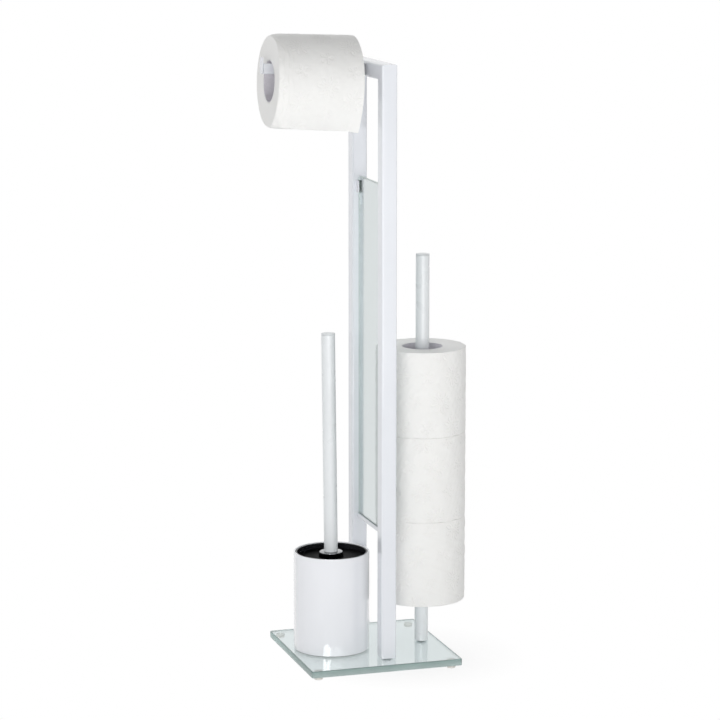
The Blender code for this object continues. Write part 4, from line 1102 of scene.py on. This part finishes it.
def paper_mesh(name, points, faces, corners, place):
    """A mesh of tissue. corners gives each face corner's place on the flat sheet."""
    matrix = np.array(place)
    points = points @ matrix[:3, :3].T + matrix[:3, 3]
    mesh = bpy.data.meshes.new(name)
    mesh.from_pydata(points.tolist(), [], faces.tolist())
    sheet = mesh.uv_layers.new(name="sheet")
    sheet.data.foreach_set("uv", corners.astype(np.float32).ravel())
    mesh.shade_smooth()
    bm = bmesh.new()
    bm.from_mesh(mesh)
    bmesh.ops.recalc_face_normals(bm, faces=bm.faces)
    bm.to_mesh(mesh)
    bm.free()
    return mesh


LAP_HANGS, LAP_THICK = 0.0572, 0.0003
LAP_START, LAP_WOUND = math.radians(35), math.radians(125)
LAP_ROWS, LAP_COLUMNS = 238, 140
LAP_SIDE = -0.0004  # where its right edge lies along the roll
LAP_OVERHANG = 0.0024  # how much wider it is where it hangs
# How much of the roll's own curvature the hanging part keeps, at shares of its width
CURL_SHARES = (0.0, 0.13, 0.64, 0.82, 1.0)
CURL_KEPT = (0.53, 0.66, 0.73, 0.80, 0.96)
# Folds by the left edge: how far from it, half width, height and the length of their waves
LAP_FOLDS = (
    (0.0052, 0.0012, 0.0010, 0.031),
    (0.0098, 0.0011, 0.0007, 0.047),
    (0.0145, 0.0014, 0.0005, 0.039),
)


def lap_course(radius, along, share, wound):
    """The lap's way round the roll and down: its points and which way is outwards there."""
    curl = np.interp(share[0], CURL_SHARES, CURL_KEPT)
    freed = smooth_step(along, wound, wound + 0.006)
    bend = np.where(along < wound, 1.0, 1 - (1 - curl) * freed) / radius
    step = along[1, 0] - along[0, 0]
    still = np.zeros((1, LAP_COLUMNS))
    turn = np.cumsum(np.vstack([still, (bend[1:] + bend[:-1]) / 2 * step]), axis=0)
    out_x, out_y = np.cos(LAP_START - turn), np.sin(LAP_START - turn)
    move_x = (out_y[1:] + out_y[:-1]) / 2 * step
    move_y = -(out_x[1:] + out_x[:-1]) / 2 * step
    x = radius * out_x[:1] + np.cumsum(np.vstack([still, move_x]), axis=0)
    y = radius * out_y[:1] + np.cumsum(np.vstack([still, move_y]), axis=0)
    return x, y, out_x, out_y


def lap_lift(along, z, inward, wound, seed):
    """How far the lap stands off the roll: tucked in where it starts, rubbed down and folded
    by its left edge, pressed and puckered all over. inward is the distance from that edge."""
    tucked = 1 - smooth_step(along, 0.0, 0.012)
    lift = 0.0002 - 0.0010 * tucked - edge_fall(inward)
    lift -= 0.0009 * np.exp(-inward / 0.0011)
    strength = smooth_step(along, wound * 0.45, wound * 0.8)
    for spot, width, height, pitch in LAP_FOLDS:
        middle = spot + 0.0012 * np.sin(along / pitch * 2 * math.pi + spot * 900)
        level = 0.65 + 0.35 * np.sin(along / (pitch * 0.6) * 2 * math.pi + 2)
        lift += height * level * strength * np.exp(-(((inward - middle) / width) ** 2))
    lift -= 0.0002 * ripple(along, z, seed + 5, 0.009) * strength * np.exp(-inward / 0.012)
    lift -= 0.0005 * pressed_pattern(along, z, seed)
    return lift - (0.7 * puckers(along, z, seed) - 0.0004)


def loose_lap(radius, length, place, seed):
    """The hanging roll's last lap: it comes over the top, leaves the winding at the front and
    hangs, curled close to the roll at the left and less so towards the right."""
    wound, hangs = radius * LAP_WOUND, LAP_HANGS
    rows, columns = LAP_ROWS, LAP_COLUMNS
    along = np.linspace(0, wound + hangs, rows)[:, None] * np.ones((1, columns))
    share = np.linspace(0, 1, columns)[None, :] * np.ones((rows, 1))
    x, y, out_x, out_y = lap_course(radius, along, share, wound)
    front = smooth_step(along, wound * 0.35, wound)
    left = length + LAP_SIDE + LAP_OVERHANG * front
    left = left + 0.0004 * ripple(along, along * 0, seed, 0.03)
    z = LAP_SIDE + share * (left - LAP_SIDE)
    lift = lap_lift(along, z, left - z, wound, seed)
    sheets = []
    for height in (lift, lift - LAP_THICK):
        sheets.append(np.stack([x + out_x * height, y + out_y * height, z], -1).reshape(-1, 3))
    grid = np.arange(rows * columns).reshape(rows, columns)
    skin = np.stack([grid[:-1, :-1], grid[:-1, 1:], grid[1:, 1:], grid[1:, :-1]], -1)
    skin = skin.reshape(-1, 4)
    rim = np.concatenate([grid[0, :], grid[1:, -1], grid[-1, -2::-1], grid[-2:0:-1, 0]])
    after = np.roll(rim, -1)
    back = rows * columns
    edge = np.stack([after, rim, rim + back, after + back], -1)
    faces = np.concatenate([skin, skin[:, ::-1] + back, edge])
    flat = np.stack([along, z], -1).reshape(-1, 2)
    corners = np.concatenate([flat, flat])[faces.reshape(-1)]
    mesh = paper_mesh("hanging_roll_lap", np.concatenate(sheets), faces, corners, place)
    mesh.set_sharp_from_angle(angle=BAR_SHARP)
    lap = piece("hanging_roll_lap", mesh, "paper", "hanging_roll")


ROLL_BORE = 0.0238
USED_EASE, FRESH_EASE = 0.0013, 0.0008  # how round the edges of the two kinds of roll are
ROLL_SIDES, END_RINGS, WALL_ROWS = 480, 14, 148
EASE_STEPS = (15, 30, 45, 60, 75)  # degrees round a roll's edge
LAYER = 0.0011  # the pitch of the layers that show in a roll's ends


def roll_outline(radius, length, ease):
    """A roll's outline as radius and height, up its outside and back to its bore."""
    ends = np.linspace(ROLL_BORE, radius - ease, END_RINGS)
    bend = [math.radians(a) for a in EASE_STEPS]
    out, low, high = radius - ease, ease, length - ease
    rows = [(r, 0.0) for r in ends]
    rows += [(out + ease * math.sin(a), low - ease * math.cos(a)) for a in bend]
    rows += [(radius, z) for z in np.linspace(low, high, WALL_ROWS)]
    rows += [(out + ease * math.cos(a), high + ease * math.sin(a)) for a in bend]
    return rows + [(r, length) for r in ends[::-1]]


def paper_roll(name, radius, length, place, seed, creased, body, node):
    """A roll of tissue: its pressed outer sheet, softly uneven edges and wound ends."""
    rows = roll_outline(radius, length, USED_EASE if creased else FRESH_EASE)
    count, sides = len(rows), ROLL_SIDES
    r = np.array([row[0] for row in rows])[:, None] * np.ones((1, sides))
    z = np.array([row[1] for row in rows])[:, None] * np.ones((1, sides))
    turn = np.linspace(0, 2 * math.pi, sides, endpoint=False)[None, :] * np.ones((count, 1))
    outer = np.clip((r - ROLL_BORE) / (radius - ROLL_BORE), 0, 1)
    around = turn * radius
    sunk = 0.00065 * pressed_pattern(around, z, seed) * (r > radius - 1e-6)
    if creased:
        sunk += 0.0002 + edge_fall(length - z)
    else:
        by_ends = np.exp(-np.clip(z, 0, None) / 0.007)
        by_ends = by_ends + np.exp(-np.clip(length - z, 0, None) / 0.007)
        sunk += 0.0003 * (1 + ripple(np.cos(turn), np.sin(turn) + z * 3, seed, 1.4))
        sunk += 1.5 * puckers(around, z, seed)
        sunk += 0.00022 * by_ends * (1 + ripple(around, z * 0, seed + 2, 0.014))
        sunk += 0.00025 * np.exp(-turn / 0.35)
    r = r - np.clip(sunk, 0, None) * outer
    layers = np.sin(2 * math.pi * (r / LAYER) - turn)
    at_end = (z < 1e-9) | (z > length - 1e-9)
    across = ripple(np.cos(turn) * outer, np.sin(turn) * outer, seed + 4, 1.1)
    dish = 0.00025 * (1 + across) + 0.00007 * (1 + layers)
    dish *= 1 - outer**6
    z = np.where(at_end & (z > length / 2), z - dish, np.where(at_end, z + dish, z))
    points = np.stack([r * np.cos(turn), r * np.sin(turn), z], -1).reshape(-1, 3)
    low = np.arange(count * sides).reshape(count, sides)
    high = np.roll(low, -1, axis=0)
    faces = np.stack([low, np.roll(low, -1, axis=1), np.roll(high, -1, axis=1), high], -1)
    side_of, row_of = np.meshgrid(np.arange(sides), np.arange(count))
    steps = [math.dist(a, b) for a, b in zip(rows, rows[1:])]
    run = np.concatenate([[0.0], np.cumsum(steps), [0.0]])
    run[-1] = run[-2] + length
    corner_u = np.stack([side_of, side_of + 1, side_of + 1, side_of], -1).reshape(-1)
    corner_u = corner_u * (2 * math.pi / sides) * radius
    corner_v = run[np.stack([row_of, row_of, row_of + 1, row_of + 1], -1).reshape(-1)]
    corners = np.stack([corner_u, corner_v], -1)
    mesh = paper_mesh(name, points, faces.reshape(-1, 4), corners, place)
    piece(name, mesh, "paper", body, node)


SPARE_RADIUS = ROD_X - POST_HIGH.x - GAP
SEAM_FILL = 0.00013  # how far each soft end swells towards the next roll


HUNG_RADIUS, HUNG_LENGTH = 0.0538, 0.0965
BOARD_BORE, BOARD_WALL, BOARD_SHORT = 0.0228, 0.0007, 0.0005


def dress_rolls():
    """The roll in use on the arm and the three spare rolls, each on its board core."""
    jobs = [("hanging_roll", HUNG_RADIUS, HUNG_LENGTH, ON_HUNG_AXIS, 11, True)]
    for number in (1, 2, 3):
        low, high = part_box(f"spare_roll_{number}_paper")
        turn = Matrix.Rotation(1.2 + 0.45 * number, 4, "Z")
        place = standing(ROD_X, 0.0, low.z - SEAM_FILL) @ turn
        length = high.z - low.z + 2 * SEAM_FILL
        jobs.append((f"spare_roll_{number}", SPARE_RADIUS, length, place, 20 + number, False))
    for body, radius, length, place, seed, creased in jobs:
        paper_roll(f"{body}_tissue", radius, length, place, seed, creased, body, f"{body}_paper")
        skin, low, high = BOARD_BORE + BOARD_WALL, BOARD_SHORT, length - BOARD_SHORT
        outline = [(BOARD_BORE, low, 0.0), (skin, low, 0.0)]
        outline += [(skin, high, 0.0), (BOARD_BORE, high, 0.0)]
        mesh = turned(f"{body}_board", eased(outline), place, BOARD_SIDES, ring=True)
        piece(f"{body}_board", mesh, "cardboard", body, f"{body}_core")
        if creased:
            loose_lap(radius, length, place, seed)


# Screws


def dress_screws():
    """The plate's screws from below, each with a cross recess, set by Geometry Nodes."""
    low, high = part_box("front_upright_screw")
    head, height = (high.x - low.x) / 2, high.z - low.z
    shank, lift = 0.0025, 0.0018
    outline = [(0.0, 0.0, 0.0), (head, 0.0, 0.0007), (head, lift, 0.0), (shank, lift, 0.0)]
    outline += [(shank, height, 0.0004), (0.0, height, 0.0)]
    bm = bmesh.new()
    bm.from_mesh(turned("plate_screw", eased(outline, 4), Matrix.Identity(4), SCREW_SIDES))
    cross_recess(bm)
    shape = bpy.data.objects.new("plate_screw_shape", closed(bm, "plate_screw"))
    nodes = ("front_upright_screw", "rear_upright_screw", "rod_screw")
    spots = [foot_point(node) for node in nodes]
    mesh = set_at_spots("plate_screws", spots, shape, "zinc_steel", 0.7)
    piece("plate_screws", mesh, "zinc_steel", "stand", *nodes)


def cross_recess(bm):
    """Sinks a cross into the head's underside, a little narrower at its bottom."""
    faces = [f for f in bm.faces if f.calc_center_median().z < 1e-5 and len(f.verts) >= 3]
    bmesh.ops.delete(bm, geom=faces, context="FACES_ONLY")
    rim = [v for v in bm.verts if abs(v.co.z) < 1e-6 and v.co.xy.length > 1e-4]
    for v in [v for v in bm.verts if not v.link_faces]:
        bm.verts.remove(v)
    rim = sorted((v for v in rim if v.is_valid), key=lambda v: math.atan2(v.co.y, v.co.x))
    arm, half, depth, narrowing = 0.0023, 0.0004, 0.0009, 0.8
    outline = []
    for quarter in range(4):
        turn = Matrix.Rotation(quarter * math.pi / 2, 2)
        for x, y in ((half, -half), (arm, -half), (arm, half)):
            outline.append(turn @ Vector((x, y)))
    cross = [bm.verts.new((p.x, p.y, 0.0)) for p in outline]
    sunk = [bm.verts.new((p.x * narrowing, p.y * narrowing, depth)) for p in outline]
    edges = []
    for loop in (rim, cross):
        for a, b in zip(loop, loop[1:] + loop[:1]):
            edges.append(bm.edges.get((a, b)) or bm.edges.new((a, b)))
    bmesh.ops.triangle_fill(bm, edges=edges, use_beauty=True)
    bottom = [f for f in bm.faces if all(v in cross for v in f.verts)]
    bmesh.ops.delete(bm, geom=bottom, context="FACES_ONLY")
    walled(bm, cross, sunk)
    bm.faces.new(sunk)


# Nodes that keep their own shape


def coat_kept_nodes():
    """Gives each CAD node that still shows its finish."""
    for slot in frame["record"]["materials"]:
        for name in slot.get("nodes", []):
            node = NODES.get(name)
            if node is None or node.hide_render:
                continue
            finish = FINISHES[slot["slot"]]
            if not node.material_slots:
                node.data.materials.append(finish)
            for holder in node.material_slots:
                holder.material = finish


# Studio


# Soft lobes of the sky's light: which way each one lies and how strong it is
SKY_LOBES = (
    ((-0.15, -1.0, 0.05), 0.70),
    ((-1.0, -0.1, 0.1), 0.92),
    ((1.0, -0.1, 0.1), 0.92),
    ((0.1, 1.0, 0.3), 2.80),
    ((0.0, 0.0, 1.0), 0.27),
)
LOBE_NARROWNESS = 4.0


def studio_sky():
    """Soft light from all round, dim overhead. What is seen, mirrored or looked at through glass
    is plain white."""
    world = bpy.data.worlds.new("studio_sky")
    bpy.context.scene.world = world
    world.use_nodes = True
    tree = world.node_tree
    tree.nodes.clear()
    where = tree.nodes.new("ShaderNodeTexCoord").outputs["Generated"]

    def math_node(operation, first, second):
        made = tree.nodes.new("ShaderNodeMath")
        made.operation = operation
        for socket, value in zip(made.inputs, (first, second)):
            if isinstance(value, float):
                socket.default_value = value
            else:
                tree.links.new(value, socket)
        return made.outputs["Value"]

    strength = None
    for way, level in SKY_LOBES:
        facing = tree.nodes.new("ShaderNodeVectorMath")
        facing.operation = "DOT_PRODUCT"
        tree.links.new(where, facing.inputs[0])
        facing.inputs[1].default_value = Vector(way).normalized()
        ahead = math_node("MAXIMUM", facing.outputs["Value"], 0.0)
        lobe = math_node("MULTIPLY", math_node("POWER", ahead, LOBE_NARROWNESS), level)
        strength = lobe if strength is None else math_node("ADD", strength, lobe)
    light = tree.nodes.new("ShaderNodeBackground")
    light.inputs["Color"].default_value = (0.985, 0.99, 1.0, 1.0)
    tree.links.new(strength, light.inputs["Strength"])
    seen = tree.nodes.new("ShaderNodeBackground")
    seen.inputs["Color"].default_value = (1.0, 1.0, 1.0, 1.0)
    seen.inputs["Strength"].default_value = 1.0
    rays = tree.nodes.new("ShaderNodeLightPath")
    shown = math_node("MAXIMUM", rays.outputs["Is Camera Ray"], rays.outputs["Is Transmission Ray"])
    shown = math_node("MAXIMUM", shown, rays.outputs["Is Glossy Ray"])
    mix = tree.nodes.new("ShaderNodeMixShader")
    tree.links.new(shown, mix.inputs["Fac"])
    tree.links.new(light.outputs["Background"], mix.inputs[1])
    tree.links.new(seen.outputs["Background"], mix.inputs[2])
    output = tree.nodes.new("ShaderNodeOutputWorld")
    tree.links.new(mix.outputs["Shader"], output.inputs["Surface"])


def studio_floor():
    """A white floor that shows as the white background and keeps the soft shadow.
    Near a point under the rolls less of its glow is mixed in, which paints shade there.
    """
    bm = bmesh.new()
    bmesh.ops.create_grid(bm, x_segments=2, y_segments=2, size=20.0)
    mesh = bpy.data.meshes.new("studio_floor")
    bm.to_mesh(mesh)
    bm.free()
    finish = Finish("studio_floor_white", Roughness=0.9, Specular_IOR_Level=0.1)
    finish.colour(finish.ramp(finish.noise(3.0), (0.90, 0.90, 0.90), (0.91, 0.91, 0.91)))
    glow = finish.node("ShaderNodeEmission", Strength=1.0, Color=(1.0, 1.0, 1.0, 1.0))
    rays = finish.node("ShaderNodeLightPath").outputs
    seen = finish.math("MAXIMUM", rays["Is Camera Ray"], rays["Is Glossy Ray"])
    seen = finish.math("MAXIMUM", seen, rays["Is Transmission Ray"])
    # painted shade: nearer a point under the rolls less glow is mixed in, so the floor is darker
    # there, over its real shadow
    distance = finish.node("ShaderNodeVectorMath", operation="LENGTH")
    finish.link(finish.place(shift=(-0.05, 0.02, 0.0)), distance.inputs[0])
    white = finish.spread(distance.outputs["Value"], 0.83, 1.0, 0.04, 0.14)
    finish.mixed(finish.math("MULTIPLY", seen, white), glow.outputs["Emission"])
    mesh.materials.append(finish.material)
    floor = bpy.data.objects.new("studio_floor", mesh)
    bpy.context.scene.collection.objects.link(floor)


AIM_HEIGHT = 0.30  # where on the stand the lamps are aimed


def softbox(name, azimuth, elevation, distance, size, power):
    """A rectangular lamp that faces the stand. Azimuth 0 is in front, and grows to the left."""
    lamp = bpy.data.lights.new(name, "AREA")
    lamp.shape = "RECTANGLE"
    lamp.size, lamp.size_y = size
    lamp.energy = power
    made = bpy.data.objects.new(name, lamp)
    bpy.context.scene.collection.objects.link(made)
    side, rise = math.radians(azimuth), math.radians(elevation)
    flat = math.cos(rise)
    way = Vector((-math.sin(side) * flat, -math.cos(side) * flat, math.sin(rise)))
    made.location = Vector((0.0, 0.0, AIM_HEIGHT)) + way * distance
    made.rotation_euler = way.to_track_quat("Z", "Y").to_euler()


# The camera as it was fitted to the photograph, in metres and degrees
CAMERA_PLACE = (-0.9821, -3.1437, 0.9619)
CAMERA_DOWN, CAMERA_TURN = 10.455, 17.256
CAMERA_LENS, CAMERA_SENSOR = 144.295, 36.0


def studio_camera():
    """The photograph's viewing angle."""
    camera = bpy.data.cameras.new("studio_camera")
    camera.sensor_width = CAMERA_SENSOR
    camera.lens = CAMERA_LENS
    camera.clip_end = 50.0
    made = bpy.data.objects.new("studio_camera", camera)
    bpy.context.scene.collection.objects.link(made)
    made.location = CAMERA_PLACE
    tilt = math.pi / 2 - math.radians(CAMERA_DOWN)
    made.rotation_euler = (tilt, 0.0, -math.radians(CAMERA_TURN))
    bpy.context.scene.camera = made


def build_scene():
    studio_camera()
    studio_sky()
    studio_floor()
    softbox("strip_light", 31.6, 9.6, distance=2.6, size=(0.93, 0.14), power=11.4)
    softbox("front_light", 5.0, -5.0, distance=1.6, size=(1.2, 0.7), power=9.0)
    dress_plate()
    dress_feet()
    dress_uprights_and_bar()
    dress_arm()
    dress_panel()
    dress_rod()
    dress_holder()
    dress_brush()
    dress_rolls()
    dress_screws()
    coat_kept_nodes()
    bpy.context.scene.view_settings.view_transform = "Standard"


build_scene()
